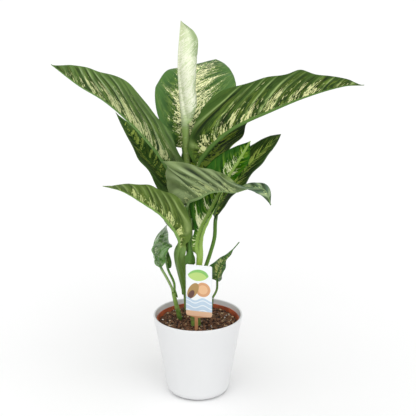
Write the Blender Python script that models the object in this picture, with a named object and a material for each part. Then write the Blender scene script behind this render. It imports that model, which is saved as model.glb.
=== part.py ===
"""A dieffenbachia growing in its pot.

The pieces are a cover pot, the grower's pot inside it, the soil, the canes of the shoots, one solid for each
leaf from the sheath that clasps its cane to the tip of its blade, and a care tag on a spike. Lengths here are
in millimetres, and new_object turns them into metres. The origin is under the middle of the cover pot, +Z is
up, and the plant's front is towards -Y.
"""

import math
from dataclasses import dataclass

import bmesh
import bpy
from mathutils import Matrix, Vector
from mathutils.geometry import interpolate_bezier

METRES = 0.001
CLEARANCE = 0.35  # between pieces that touch on the real plant
MERGE_DISTANCE = 0.0005
SMOOTH_ANGLE = 40.0  # degrees between faces, above which their edge stays sharp

# Cover pot
POT_HEIGHT = 139.0
POT_RIM_RADIUS = 75.0
POT_FOOT_RADIUS = 54.7
POT_FOOT_ROUNDING = 16.0
POT_WALL = 3.5
POT_FLOOR = 4.5
POT_BOW = 1.05  # how much the wall curves: 1 is straight
POT_SIDES = 56

# Grower's pot
INNER_RIM_RADIUS = 69.5
INNER_RIM_TOP = 131.0
INNER_RIM_BAND = 10.0
INNER_RIM_STEP = 4.6
INNER_RIM_TAPER = 1.7
INNER_BASE_RADIUS = 38.0
INNER_CORNER = (43.0, 4.5)
INNER_WALL = 1.8
INNER_STEP_RISE = 0.6  # between the undersides of its rim band at the wall and at the edge
INNER_INSIDE_RISE = 3.0  # of the rim band's inner step above its outer one
INNER_INSIDE_STEP = 1.0
INNER_SIDES = 48
DRAIN_HOLES = 6
DRAIN_RADIUS = 4.5
DRAIN_CIRCLE = 26.0
DRAIN_REACH = (3.0, 5.0)  # of its cutters below and above the pot's underside
DRAIN_SIDES = 10

# Soil
SOIL_EDGE_HEIGHT = 123.5
SOIL_CROWN = 2.0
SOIL_LUMP = 0.7
SOIL_RISE = 1.6  # of its surface above the edge height at the pot's wall
SOIL_FLAT_RIM = 1.0  # how far in from the pot's wall its surface has no lumps
SOIL_WALL_GAP = 0.1  # on top of the clearance
SOIL_BAND_RISES = (1.5, 3.6)  # of its outer step above the underside of the pot's rim band
SOIL_RINGS = (1.0, 0.85, 0.65, 0.42, 0.2, 0.0)  # shares of its radius
SOIL_SIDES = 36
STEM_DEPTH = 22.0
HOLE_MARGIN = 0.9
HOLE_SIDES = 16
CUTTER_REACH = 60.0

# Canes
CANE_SIDES = 12
CANE_RING_SPACING = 34.0
SCAR_HEIGHT = 0.5
SCAR_HALF_LENGTH = 2.2
SCAR_CLEAR = 4.0  # no plain cross-section lies nearer to a scar than this

# Leaves
BLADE_THICKNESS = 0.8
SHEATH_THICKNESS = 1.1
SHEATH_GAP = 0.15  # between a sheath and its cane, on top of the clearance
SHEATH_START = 10.0  # how far a sheath runs straight along its cane
SHEATH_BROAD = 0.45  # share of its length after which it bends to its own radius
SHEATH_OPEN = 1.6  # how much of its length it stays fully open: 1 is none
SHEATH_CLOSING = 0.7  # power with which it closes after that
STALK_UPPER_BUMP = 0.55  # how far a stalk's upper side bulges, as a share of its lower side
BLADE_RINGS = 15
STALK_RINGS = 6
STALK_CROWDING = 0.9  # below 1, the stalk's cross-sections are closer together towards the blade
BLADE_CROWDING = 0.55  # from 0, even, to 1: how much closer the blade's are towards its two ends
HALF_COLUMNS = 4  # from the midrib to each margin
TIP_HALF_WIDTH = 0.9
TIP_RIB = 0.35
RIB_TAPER = 1.3
WING_SHARE = 0.14  # of the blade's length, in which a wide sheath runs out
LIFT_START = 0.06  # shares of the blade's length in which its lifts and curls set in and run out
LIFT_END = 0.08
LOBE_START = 0.04  # share of the blade's length in which its shoulders start to reach back
LOBE_POWER = 1.5  # with which they stop towards where it is widest
LOBE_WIDTH = 100.0  # of a blade whose shoulders reach back in full
WAVE_END = 0.83
WAVE_POWER = 0.5
WAVE_SHIFT = 1.9  # radians between the waves of its two margins
BASE_MOUND = 0.15  # share of its length in which the stalk's bulge on its upper side runs out
MIN_BEND = 2.0  # the smallest radius that a rolled blade bends to
OPEN_CURL = 0.66  # share of its curl that a rolled blade keeps where its half is narrower than NARROW_ROLL
NARROW_ROLL = 25.0
ROLL_RISE = 0.026  # how much more of its curl it keeps for each millimetre above that
STRAIGHT_TURN = 1e-4  # radians

# Care tag
TAG_WIDTH = 44.5
TAG_HEIGHT = 89.0
TAG_THICKNESS = 0.9
TAG_BOTTOM = 151.0
TAG_TURN = 15.5  # degrees, its right side nearer the front
TAG_FOOT = (-2.2, -38.6)
TAG_CORNER = 2.0
SPIKE_WIDTH = 5.6
SPIKE_OFFSET = -4.5
SPIKE_POINT = 104.0
SPIKE_TAPER = 8.0
SPIKE_FLARE = 3.0  # how far the spike widens to each side as it meets the card
SLOT_BOTTOM = 101.0
SLOT_DEPTH = 50.0
SLOT_MARGIN = 1.0


@dataclass
class Cane:
    """A shoot's cane: the points of its axis, its radius at the foot and the top, and its leaf-scar rings."""

    name: str
    axis: list
    foot_radius: float
    top_radius: float
    scars: tuple = ()


@dataclass
class Leaf:
    """One leaf. Its stalk starts against a cane at foot_height, on the side that foot_heading gives in
    degrees anticlockwise from +X, and runs through stalk, whose last point is the blade's base. midrib goes
    on from there to the tip. Blade and stalk turn their upper side away from heading. The lifts are degrees
    that each half rises above level at the base, the middle and the tip, and the curls are how far each half
    bends on from its rib to its margin. Left and right are as seen from the cane, looking along the leaf."""

    name: str
    cane: str
    foot_height: float
    foot_heading: float
    stalk: list
    midrib: list
    heading: float
    width: float
    left_lift: tuple
    right_lift: tuple
    left_curl: tuple = (0.0, 0.0, 0.0)
    right_curl: tuple = (0.0, 0.0, 0.0)
    rib: float = 3.6
    foot_rib: float = 0.0  # where the stalk is thinner at its foot
    sheath_length: float = 26.0
    sheath_radius: float = 0.0  # of its bend above the cane, where it is wider than there
    clasp: float = 70.0  # degrees that the sheath reaches round its cane, each way
    wave: float = 2.2
    waves: float = 3.5
    widest: float = 0.26  # where the blade is widest, as a share of its length
    shoulder: float = 2.2  # how square its base is: 1 is a wedge
    taper: float = 1.8  # how long it stays wide past there
    point: float = 1.2  # how drawn out its tip is: 1 is blunt
    columns: int = HALF_COLUMNS
    rings: int = BLADE_RINGS
    rolled: bool = False
    skew: float = 0.0  # how much wider its right half is than its left one, as a share
    lobe: float = 9.0  # how far the blade's two shoulders reach back past the end of its stalk
    bumps: tuple = ()  # of its margins: side (-1 is left), share of the length, height and half length


CANES = (
    Cane(
        "cane_main",
        [(-3, -22, 102), (-3, -22, 128), (-8, -20, 180), (-12, -17, 238), (-13.5, -11, 295), (-14, -4, 348)],
        8.3,
        4.2,
        (38, 58, 90, 124),
    ),
    Cane("cane_back", [(-19, 43, 102), (-19, 43, 128), (-22, 37, 172), (-24, 32, 196)], 4.8, 3.8, (66,)),
    Cane("cane_left", [(-31, 6, 102), (-31, 6, 128), (-36, 3, 152), (-41, 0, 176)], 4.4, 3.2, (48,)),
    Cane("cane_right", [(22, 48, 112), (22, 48, 130), (24.5, 50.5, 146)], 3.4, 2.6),
)

LEAVES = (
    Leaf(
        "leaf_young_rolled",
        "cane_main",
        349.0,
        0.0,
        [(-14.3, -3, 372), (-15.5, -1, 410), (-17.5, 1, 462)],
        [(-22, 4, 497), (-26, 4, 530), (-28, 4, 566), (-27, 5, 597), (-25, 8, 627)],
        heading=180.0,
        width=104.0,
        left_lift=(0, 0, 55),
        right_lift=(0, 0, 20),
        left_curl=(190, 205, 20),
        right_curl=(220, 240, 100),
        rib=7.4,
        foot_rib=4.6,
        wave=0.0,
        widest=0.62,
        shoulder=1.0,
        taper=2.2,
        point=0.85,
        rolled=True,
        bumps=((-1, 0.72, -15.0, 0.14), (1, 0.72, -12.0, 0.14)),
        columns=6,
    ),
    Leaf(
        "leaf_back",
        "cane_main",
        322.0,
        92.0,
        [(-15, 11, 362), (-19, 14, 395), (-22, 16, 422)],
        [(-23, 28, 465), (-21, 52, 494), (-13, 92, 515), (3, 142, 530), (31, 195, 539)],
        heading=75.0,
        width=126.0,
        left_lift=(40, 10, -10),
        right_lift=(0, 5, 2),
        widest=0.42,
        shoulder=1.6,
        taper=2.4,
        point=0.85,
        bumps=((1, 0.45, 8.0, 0.12),),
        skew=0.18,
    ),
    Leaf(
        "leaf_right_large",
        "cane_main",
        310.0,
        -28.0,
        [(-3, -6, 345), (-4, -2, 375), (-2, 0, 394)],
        [(21, 2, 426), (59, 5, 457), (119, 10, 484), (175, 15, 506), (234, 20, 522), (267, 25, 523)],
        heading=5.0,
        width=138.0,
        left_lift=(10, 15, 10),
        right_lift=(72, 85, 60),
        clasp=40.0,
        widest=0.32,
        shoulder=1.1,
        bumps=((1, 0.43, -7.0, 0.13), (1, 0.6, -2.0, 0.05), (1, 0.7, 8.0, 0.045), (1, 0.86, 2.0, 0.07)),
        rings=21,
    ),
    Leaf(
        "leaf_left_large",
        "cane_main",
        272.0,
        216.0,
        [(-25, -12, 320), (-35, -10, 368)],
        [
            (-54, -15, 406),
            (-75, -20, 437),
            (-111, -25, 478),
            (-146, -30, 509),
            (-183, -35, 533),
            (-223, -40, 566),
        ],
        heading=186.0,
        width=136.0,
        left_lift=(42, 48, 84),
        right_lift=(15, 15, 10),
        clasp=40.0,
        widest=0.3,
        shoulder=1.1,
        taper=2.5,
        point=1.0,
        bumps=(
            (-1, 0.22, -11.0, 0.09),
            (-1, 0.38, -15.0, 0.1),
            (-1, 0.62, 2.0, 0.045),
            (-1, 0.75, -4.0, 0.06),
        ),
        rings=20,
    ),
    Leaf(
        "leaf_left_shaded",
        "cane_main",
        253.0,
        128.0,
        [(-26, 0, 292), (-32, 15, 326)],
        [(-57, 30, 369), (-87, 45, 400), (-136, 70, 469)],
        heading=150.0,
        width=100.0,
        left_lift=(12, 20, 10),
        right_lift=(30, 30, 10),
        bumps=((-1, 0.74, -7.0, 0.12),),
        wave=1.2,
    ),
    Leaf(
        "leaf_right_shaded",
        "cane_main",
        288.0,
        50.0,
        [(-6, 6, 322), (-3, 30, 375)],
        [(24, 63, 408), (56, 99, 439), (113, 150, 486)],
        heading=38.0,
        width=94.0,
        left_lift=(20, 20, 10),
        right_lift=(10, 10, 0),
        bumps=((1, 0.42, 9.0, 0.18),),
        clasp=50.0,
        lobe=4.0,
    ),
    Leaf(
        "leaf_right_lower",
        "cane_main",
        178.0,
        10.0,
        [(8, -4, 212), (19, 5, 242), (27, 13, 270), (29, 21, 300)],
        [(37, 28, 325), (65, 34, 360), (98, 40, 401), (137, 45, 438)],
        heading=8.0,
        width=66.0,
        left_lift=(20, 34, 22),
        right_lift=(-20, -20, -10),
        bumps=((1, 0.45, -12.0, 0.35),),
        widest=0.45,
        shoulder=1.2,
        taper=2.6,
        point=0.7,
    ),
    Leaf(
        "leaf_front",
        "cane_main",
        234.0,
        -90.0,
        [(-14, -25, 290), (-17, -28, 339)],
        [
            (4, -45, 356),
            (21, -60, 369),
            (40, -75, 375),
            (57, -90, 377),
            (81, -100, 386),
            (102, -110, 386),
            (112, -120, 365),
        ],
        heading=-35.0,
        width=120.0,
        left_lift=(88, 4, 34),
        right_lift=(64, 51, -28),
        bumps=(
            (1, 0.025, -16.0, 0.025),
            (1, 0.075, 6.0, 0.03),
            (1, 0.16, 14.0, 0.09),
            (1, 0.27, 5.0, 0.07),
        ),
        rib=3.3,
        widest=0.2,
        shoulder=1.3,
        taper=1.4,
        point=1.1,
        skew=0.2,
        lobe=40.0,
        rings=22,
    ),
    Leaf(
        "leaf_centre_glossy",
        "cane_main",
        205.0,
        -35.0,
        [(0, -27, 228), (2.5, -28, 250)],
        [(5, -27, 286), (22, -18, 323), (45.5, -1, 367), (67.5, 4, 404), (85.5, 8, 435)],
        heading=20.0,
        width=64.0,
        bumps=((-1, 0.2, -9.0, 0.08), (-1, 0.36, 9.0, 0.09), (1, 0.16, 7.0, 0.07), (1, 0.85, 4.0, 0.07)),
        left_lift=(78, 72, 40),
        right_lift=(28, 20, -40),
        rib=6.3,
        foot_rib=4.3,
        clasp=50.0,
        skew=-0.28,
        widest=0.55,
        shoulder=0.7,
        taper=2.4,
        point=1.0,
        wave=1.5,
    ),
    Leaf(
        "leaf_left_lower",
        "cane_back",
        160.0,
        275.0,
        [(-26.5, 20, 200), (-31.5, 2, 229), (-31.5, -17, 252), (-27.5, -31, 274)],
        [(-35, -37, 296), (-56, -47, 326), (-86.5, -63, 353), (-115.5, -83, 377), (-143, -101, 390)],
        heading=217.0,
        width=88.0,
        left_lift=(50, 65, 30),
        right_lift=(14, 12, 5),
        sheath_length=240.0,
        sheath_radius=10.0,
        clasp=80.0,
        shoulder=1.5,
        lobe=4.0,
        taper=2.3,
        point=1.0,
        bumps=((-1, 0.2, -9.0, 0.14), (-1, 0.52, -6.0, 0.13), (-1, 0.85, 3.0, 0.08)),
        rings=18,
    ),
    Leaf(
        "leaf_left_small",
        "cane_left",
        177.0,
        0.0,
        [(-43, -1, 186), (-52, -3, 206), (-60, -5, 222)],
        [(-72, -5, 250), (-68, -1, 274), (-51, 7, 293)],
        heading=180.0,
        width=62.0,
        left_lift=(0, 0, 0),
        right_lift=(50, 76, 50),
        rib=2.4,
        sheath_length=14.0,
        widest=0.62,
        shoulder=1.3,
        taper=2.4,
        point=0.75,
    ),
    Leaf(
        "leaf_left_small_rolled",
        "cane_left",
        166.0,
        60.0,
        [(-40, 11, 190), (-50, 16, 213)],
        [(-55, 18, 238), (-56, 20, 262)],
        heading=150.0,
        width=20.0,
        left_lift=(0, 0, 0),
        right_lift=(0, 0, 0),
        left_curl=(120, 140, 140),
        right_curl=(150, 170, 170),
        rib=2.0,
        sheath_length=14.0,
        wave=0.0,
        rolled=True,
    ),
    Leaf(
        "leaf_right_small",
        "cane_right",
        147.0,
        0.0,
        [(32, 56, 160), (33, 55, 177)],
        [(35, 52, 196), (44, 50, 215), (70, 45, 251)],
        heading=60.0,
        width=36.0,
        left_lift=(30, 30, 10),
        right_lift=(40, 30, 10),
        rib=1.9,
        widest=0.28,
        shoulder=1.4,
        taper=1.0,
        point=2.2,
    ),
)

# Colours, roughness and metallic values of each material
FINISHES = {
    "white_glaze": ((0.86, 0.86, 0.85), 0.35, 0.0),
    "terracotta_plastic": ((0.42, 0.13, 0.06), 0.6, 0.0),
    "soil": ((0.07, 0.045, 0.03), 0.95, 0.0),
    "cane_green": ((0.13, 0.24, 0.06), 0.5, 0.0),
    "leaf_green": ((0.06, 0.17, 0.04), 0.4, 0.0),
    "young_leaf": ((0.45, 0.58, 0.3), 0.4, 0.0),
    "tag_card": ((0.8, 0.8, 0.76), 0.3, 0.0),
}


def clear_scene():
    """Removes every object that is in the scene before the model is made."""
    for thing in list(bpy.data.objects):
        bpy.data.objects.remove(thing, do_unlink=True)


def material(name):
    """The named finish, made once."""
    found = bpy.data.materials.get(name)
    if found:
        return found
    colour, roughness, metallic = FINISHES[name]
    made = bpy.data.materials.new(name)
    made.use_nodes = True
    shader = made.node_tree.nodes["Principled BSDF"]
    shader.inputs["Base Color"].default_value = (*colour, 1.0)
    shader.inputs["Roughness"].default_value = roughness
    shader.inputs["Metallic"].default_value = metallic
    made.diffuse_color = (*colour, 1.0)
    return made


def new_object(name, mesh_builder, finish):
    """An object in metres from a bmesh in millimetres, with its faces pointing out and shaded smooth."""
    bmesh.ops.remove_doubles(mesh_builder, verts=mesh_builder.verts, dist=MERGE_DISTANCE)
    bmesh.ops.scale(mesh_builder, vec=(METRES, METRES, METRES), verts=mesh_builder.verts)
    bmesh.ops.recalc_face_normals(mesh_builder, faces=mesh_builder.faces)
    mesh = bpy.data.meshes.new(name)
    mesh_builder.to_mesh(mesh)
    mesh_builder.free()
    mesh.shade_smooth()
    mesh.set_sharp_from_angle(angle=math.radians(SMOOTH_ANGLE))
    mesh.materials.append(material(finish))
    made = bpy.data.objects.new(name, mesh)
    bpy.context.scene.collection.objects.link(made)
    return made


def turned(outline, sides):
    """A bmesh turned about Z from (radius, height) points that start and end on the axis."""
    made = bmesh.new()
    points = [made.verts.new((radius, 0.0, height)) for radius, height in outline]
    edges = [made.edges.new(pair) for pair in zip(points, points[1:])]
    bmesh.ops.spin(
        made, geom=points + edges, axis=(0, 0, 1), cent=(0, 0, 0), angle=math.tau, steps=sides, use_merge=True
    )
    bmesh.ops.remove_doubles(made, verts=made.verts, dist=0.001)
    return made


def arc(centre_radius, centre_height, radius, start, end, steps):
    """Points of a round stretch of a turned outline, with its angles in degrees from level."""
    angles = [math.radians(start + (end - start) * step / steps) for step in range(steps + 1)]
    return [(centre_radius + radius * math.cos(a), centre_height + radius * math.sin(a)) for a in angles]


def pot_radius(height):
    """The cover pot's outer radius at a height above its rounded foot."""
    share = (height - POT_FOOT_ROUNDING) / (POT_HEIGHT - POT_FOOT_ROUNDING)
    return POT_FOOT_RADIUS + (POT_RIM_RADIUS - POT_FOOT_RADIUS) * share**POT_BOW


def make_cover_pot():
    """The smooth white pot, open at the top, with a rounded foot and a thin rounded lip."""
    foot = arc(POT_FOOT_RADIUS - POT_FOOT_ROUNDING, POT_FOOT_ROUNDING, POT_FOOT_ROUNDING, -90, 0, 6)
    heights = [POT_FOOT_ROUNDING + (POT_HEIGHT - POT_FOOT_ROUNDING) * share for share in (0.33, 0.67)]
    outside = [(pot_radius(height), height) for height in heights]
    lip = arc(POT_RIM_RADIUS - POT_WALL / 2, POT_HEIGHT - POT_WALL / 2, POT_WALL / 2, 0, 180, 4)
    inside = [(radius - POT_WALL, height) for radius, height in reversed(outside)]
    inner_rounding = POT_FOOT_ROUNDING - POT_FLOOR
    corner = arc(POT_FOOT_RADIUS - POT_WALL - inner_rounding, POT_FOOT_ROUNDING, inner_rounding, 0, -90, 4)
    outline = [(0, 0), *foot, *outside, *lip, *inside, *corner, (0, POT_FLOOR)]
    return new_object("cover_pot", turned(outline, POT_SIDES), "white_glaze")


def inner_floor():
    """The height of the grower's pot's underside."""
    return POT_FLOOR + CLEARANCE


def make_grower_pot():
    """The thin terracotta-coloured pot with a stepped rim band and drain holes."""
    base = inner_floor()
    band = INNER_RIM_TOP - INNER_RIM_BAND
    corner_radius, corner_rise = INNER_CORNER
    wall_radius = INNER_RIM_RADIUS - INNER_RIM_STEP
    outline = [
        (0, base),
        (INNER_BASE_RADIUS, base),
        (corner_radius, base + corner_rise),
        (wall_radius, band),
        (INNER_RIM_RADIUS - INNER_RIM_TAPER, band + INNER_STEP_RISE),
        (INNER_RIM_RADIUS, INNER_RIM_TOP),
        (INNER_RIM_RADIUS - INNER_WALL, INNER_RIM_TOP),
        (INNER_RIM_RADIUS - INNER_RIM_TAPER - INNER_WALL, band + INNER_INSIDE_RISE),
        (wall_radius - INNER_WALL, band + INNER_INSIDE_STEP),
        (corner_radius - INNER_WALL, base + corner_rise + INNER_INSIDE_STEP),
        (INNER_BASE_RADIUS - INNER_INSIDE_STEP, base + INNER_WALL),
        (0, base + INNER_WALL),
    ]
    pot = new_object("grower_pot", turned(outline, INNER_SIDES), "terracotta_plastic")
    holes = bpy.data.collections.new("drain_holes")
    for hole in range(DRAIN_HOLES):
        angle = math.tau * hole / DRAIN_HOLES
        place = (DRAIN_CIRCLE * math.cos(angle), DRAIN_CIRCLE * math.sin(angle))
        below, above = DRAIN_REACH
        holes.objects.link(upright_cutter(place, DRAIN_RADIUS, base - below, base + above, DRAIN_SIDES))
    cut(pot, holes)
    return pot


def upright_cutter(place, radius, bottom, top, sides):
    """A plain upright cylinder that a Boolean takes away, left out of the scene itself."""
    made = bmesh.new()
    bmesh.ops.create_cone(
        made, cap_ends=True, segments=sides, radius1=radius, radius2=radius, depth=top - bottom
    )
    bmesh.ops.translate(made, vec=(place[0], place[1], (bottom + top) / 2), verts=made.verts)
    return cutter_object(made)


def cutter_object(mesh_builder):
    """A cutter from a bmesh in millimetres, hidden from renders and drawn as wire."""
    bmesh.ops.recalc_face_normals(mesh_builder, faces=mesh_builder.faces)
    bmesh.ops.scale(mesh_builder, vec=(METRES, METRES, METRES), verts=mesh_builder.verts)
    mesh = bpy.data.meshes.new("cutter")
    mesh_builder.to_mesh(mesh)
    mesh_builder.free()
    made = bpy.data.objects.new("cutter", mesh)
    made.hide_render = True
    made.display_type = "WIRE"
    return made


def cut(target, cutters):
    """Takes every cutter of a collection away from the target."""
    bpy.context.scene.collection.children.link(cutters)
    boolean = target.modifiers.new("holes", "BOOLEAN")
    boolean.operation = "DIFFERENCE"
    boolean.solver = "EXACT"
    boolean.operand_type = "COLLECTION"
    boolean.collection = cutters


def soil_lumps(x, y):
    """How far the soil's surface stands above or below its smooth crown."""
    return SOIL_LUMP * (math.sin(x * 0.31 + y * 0.17) + math.sin(y * 0.37 - x * 0.11) * 0.8)


def make_soil():
    """The soil that fills the pot, with a plain hole for each cane and a slot for the tag's spike."""
    base = inner_floor() + INNER_WALL + CLEARANCE
    band = INNER_RIM_TOP - INNER_RIM_BAND
    corner_radius, corner_rise = INNER_CORNER
    wall_radius = INNER_RIM_RADIUS - INNER_RIM_STEP - INNER_WALL - CLEARANCE
    top_radius = INNER_RIM_RADIUS - INNER_RIM_TAPER - INNER_WALL - CLEARANCE - SOIL_WALL_GAP
    low_rise, high_rise = SOIL_BAND_RISES
    outline = [
        (0, base),
        (INNER_BASE_RADIUS - 2 * INNER_INSIDE_STEP, base),
        (corner_radius - INNER_WALL - CLEARANCE, base + corner_rise),
        (wall_radius, band + low_rise + CLEARANCE),
        (top_radius, band + high_rise),
    ]
    for share in SOIL_RINGS:
        outline.append((top_radius * share, SOIL_EDGE_HEIGHT + SOIL_RISE + SOIL_CROWN * (1 - share**2)))
    body = turned(outline, SOIL_SIDES)
    for vert in body.verts:
        across = math.hypot(vert.co.x, vert.co.y)
        if vert.co.z > SOIL_EDGE_HEIGHT + SOIL_RISE / 2 and across < top_radius - SOIL_FLAT_RIM:
            vert.co.z += soil_lumps(vert.co.x, vert.co.y)
    soil = new_object("soil", body, "soil")
    holes = bpy.data.collections.new("stem_holes")
    for cane in CANES:
        x, y, bottom = cane.axis[0]
        radius = cane.foot_radius + HOLE_MARGIN
        top = bottom + CUTTER_REACH
        holes.objects.link(upright_cutter((x, y), radius, bottom - CLEARANCE, top, HOLE_SIDES))
    holes.objects.link(spike_slot())
    cut(soil, holes)
    return soil


def route_of(points, steps=24):
    """A smooth curve through the points, as dense points with their distances along it."""
    places = [Vector(point) for point in points]
    count = len(places)
    ways = []
    for index in range(count):
        before = places[max(index - 1, 0)]
        after = places[min(index + 1, count - 1)]
        ways.append((after - before).normalized())
    dense = [places[0]]
    for index in range(count - 1):
        start, end = places[index], places[index + 1]
        handle = (end - start).length / 3
        leaving, arriving = ways[index] * handle, ways[index + 1] * handle
        piece = interpolate_bezier(start, start + leaving, end - arriving, end, steps)
        dense.extend(piece[1:])
    distances = [0.0]
    for start, end in zip(dense, dense[1:]):
        distances.append(distances[-1] + (end - start).length)
    return dense, distances


def along(route, distance):
    """The place and direction on a route at a distance from its start."""
    dense, distances = route
    last = len(dense) - 2
    index = 0
    while index < last and distances[index + 1] < distance:
        index += 1
    span = distances[index + 1] - distances[index]
    share = (distance - distances[index]) / span
    place = dense[index].lerp(dense[index + 1], share)
    before = dense[max(index - 1, 0)]
    after = dense[min(index + 2, len(dense) - 1)]
    return place, (after - before).normalized()


def smooth(share):
    """An even step from 0 to 1."""
    share = min(1.0, max(0.0, share))
    return share**2 * (3 - 2 * share)


def eased(values, share):
    """A smooth value at a share of the way from the first of three values, past the second, to the third."""
    first, middle, last = values
    if share < 0.5:
        return first + (middle - first) * smooth(share * 2)
    return middle + (last - middle) * smooth(share * 2 - 1)


def loft(rings):
    """A closed bmesh of triangles over rings of equal length, each an upper row and a lower row of points
    from the left margin to the right one. Both faces are split alike, so that they stay apart."""
    made = bmesh.new()
    rows = []
    for upper, lower in rings:
        rows.append(([made.verts.new(point) for point in upper], [made.verts.new(point) for point in lower]))

    def quad(a, b, c, d):
        made.faces.new((a, b, c))
        made.faces.new((a, c, d))

    last = len(rows[0][0]) - 1
    for (upper, lower), (next_upper, next_lower) in zip(rows, rows[1:]):
        for column in range(last):
            quad(upper[column], upper[column + 1], next_upper[column + 1], next_upper[column])
            quad(lower[column], lower[column + 1], next_lower[column + 1], next_lower[column])
        quad(upper[0], next_upper[0], next_lower[0], lower[0])
        quad(upper[last], lower[last], next_lower[last], next_upper[last])
    for upper, lower in (rows[0], rows[-1]):
        for column in range(last):
            quad(upper[column], upper[column + 1], lower[column + 1], lower[column])
    return made


def blade_outline(leaf, share):
    """The blade's half width at a share of its length, as a share of its widest half width."""
    if share < leaf.widest:
        return math.sqrt(max(0.0, 1 - (1 - share / leaf.widest) ** leaf.shoulder))
    rest = (share - leaf.widest) / (1 - leaf.widest)
    return max(0.0, 1 - rest**leaf.taper) ** leaf.point


@dataclass
class Section:
    """One cross-section of a leaf. Its pairs are for the left and the right half."""

    place: Vector
    out: Vector  # towards the right margin
    up: Vector  # out of the upper side
    forward: Vector
    half_widths: tuple
    rib: float
    thickness: float
    lifts: tuple  # degrees
    curls: tuple  # degrees
    lobe: float
    ripples: tuple
    columns: int
    spread: float  # 1 spaces its points evenly, and 2 brings them closer to the rib
    upper_bump: float


def section_points(section):
    """The upper and lower rows of one cross-section, from the left margin to the right one."""
    upper, lower = [], []
    left_tilt, right_tilt = (math.radians(lift) for lift in section.lifts)
    crease = section.up * (math.cos(left_tilt) + math.cos(right_tilt))
    crease = (crease + section.out * (math.sin(left_tilt) - math.sin(right_tilt))).normalized()
    for half, side in enumerate((-1, 1)):
        half_upper, half_lower = [], []
        lift = math.radians(section.lifts[half])
        half_width = section.half_widths[half]
        closing = min(1.0, max(OPEN_CURL, OPEN_CURL + (half_width - NARROW_ROLL) * ROLL_RISE))
        full_turn = min(math.radians(section.curls[half]) * closing, half_width / MIN_BEND)
        for column in range(section.columns + 1):
            step = column / section.columns
            reach = section.rib * math.sin(step * math.pi / 2)
            reach += (half_width - section.rib) * step**section.spread
            outward = reach / half_width
            turn = full_turn * outward
            middle = lift + turn / 2
            chord = reach if abs(turn) < STRAIGHT_TURN else reach * math.sin(turn / 2) / (turn / 2)
            angle = lift + turn
            normal = section.up * math.cos(angle) - section.out * (side * math.sin(angle))
            if column == 0:
                normal = crease
            point = section.place + section.out * (side * chord * math.cos(middle))
            point += section.up * (chord * math.sin(middle))
            point += normal * (section.ripples[half] * outward**2)
            point -= section.forward * (section.lobe * outward**2)
            mound = math.sqrt(max(0.0, section.rib**2 - reach**2))
            half_upper.append(point + normal * (section.thickness / 2 + mound * section.upper_bump))
            half_lower.append(point - normal * (section.thickness / 2 + mound))
        if side < 0:
            upper, lower = half_upper[:0:-1], half_lower[:0:-1]
        else:
            upper, lower = upper + half_upper, lower + half_lower
    return upper, lower


def cane_named(name):
    """The cane of that name."""
    return next(cane for cane in CANES if cane.name == name)


def cane_radius(cane, distance, length):
    """A cane's radius at a distance along it, without its leaf-scar rings."""
    share = max(0.0, distance - STEM_DEPTH) / (length - STEM_DEPTH)
    return cane.foot_radius + (cane.top_radius - cane.foot_radius) * share


def cane_at(cane, height):
    """A cane's middle, direction and radius at a height."""
    route = route_of(cane.axis)
    dense, distances = route
    distance = distances[-1]
    for place, reached in zip(dense, distances):
        if place.z >= height:
            distance = reached
            break
    place, way = along(route, distance)
    return place, way, cane_radius(cane, distance, distances[-1])


def leaf_route(leaf):
    """The leaf's smooth route with its length, the stalk's length and the radius that its sheath bends to."""
    middle, way, radius = cane_at(cane_named(leaf.cane), leaf.foot_height)
    bend = radius + CLEARANCE + SHEATH_GAP + SHEATH_THICKNESS / 2
    heading = math.radians(leaf.foot_heading)
    outward = Vector((math.cos(heading), math.sin(heading), 0.0))
    outward = (outward - way * outward.dot(way)).normalized()
    on_top = leaf.foot_height > middle.z + 0.5
    foot = middle + way * (leaf.foot_height - middle.z) if on_top else middle + outward * bend
    points = [foot, foot + way * SHEATH_START, *leaf.stalk, *leaf.midrib]
    if on_top:
        points = [foot, *leaf.stalk, *leaf.midrib]
    route = route_of(points)
    base = Vector(leaf.stalk[-1])
    dense, distances = route
    nearest = min(range(len(dense)), key=lambda index: (dense[index] - base).length)
    return route, distances[-1], distances[nearest], bend, on_top


def ring_distances(leaf, length, stalk_length):
    """Distances of the cross-sections from the foot, closer together at the blade's two ends."""
    distances = []
    for step in range(STALK_RINGS):
        distances.append((step / STALK_RINGS) ** STALK_CROWDING * stalk_length)
    for step in range(leaf.rings + 1):
        even = step / leaf.rings
        crowded = 0.5 - 0.5 * math.cos(math.pi * even)
        share = BLADE_CROWDING * crowded + (1 - BLADE_CROWDING) * even
        distances.append(stalk_length + (length - stalk_length) * share)
    return distances


def leaf_sections(leaf):
    """The leaf's cross-sections from its foot to its tip."""
    route, length, stalk_length, bend, on_top = leaf_route(leaf)
    for distance in ring_distances(leaf, length, stalk_length):
        place, forward = along(route, distance)
        turn = smooth(distance / stalk_length)
        heading = math.radians(leaf.foot_heading + (leaf.heading - leaf.foot_heading) * turn)
        if on_top:
            heading = math.radians(leaf.heading)
        out = Vector((math.sin(heading), -math.cos(heading), 0.0))
        out = (out - forward * out.dot(forward)).normalized()
        axes = (place, out, out.cross(forward), forward)
        rib = stalk_rib(leaf, distance / stalk_length)
        stalk = stalk_shape(leaf, distance, rib, bend, on_top)
        if distance < stalk_length:
            yield stalk_section(leaf, axes, rib, stalk)
        else:
            share = (distance - stalk_length) / (length - stalk_length)
            yield blade_section(leaf, axes, share, stalk)


def stalk_rib(leaf, grown):
    """The stalk's half thickness at a share of its length."""
    foot_rib = leaf.foot_rib or leaf.rib
    return foot_rib + (leaf.rib - foot_rib) * smooth(grown)


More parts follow.
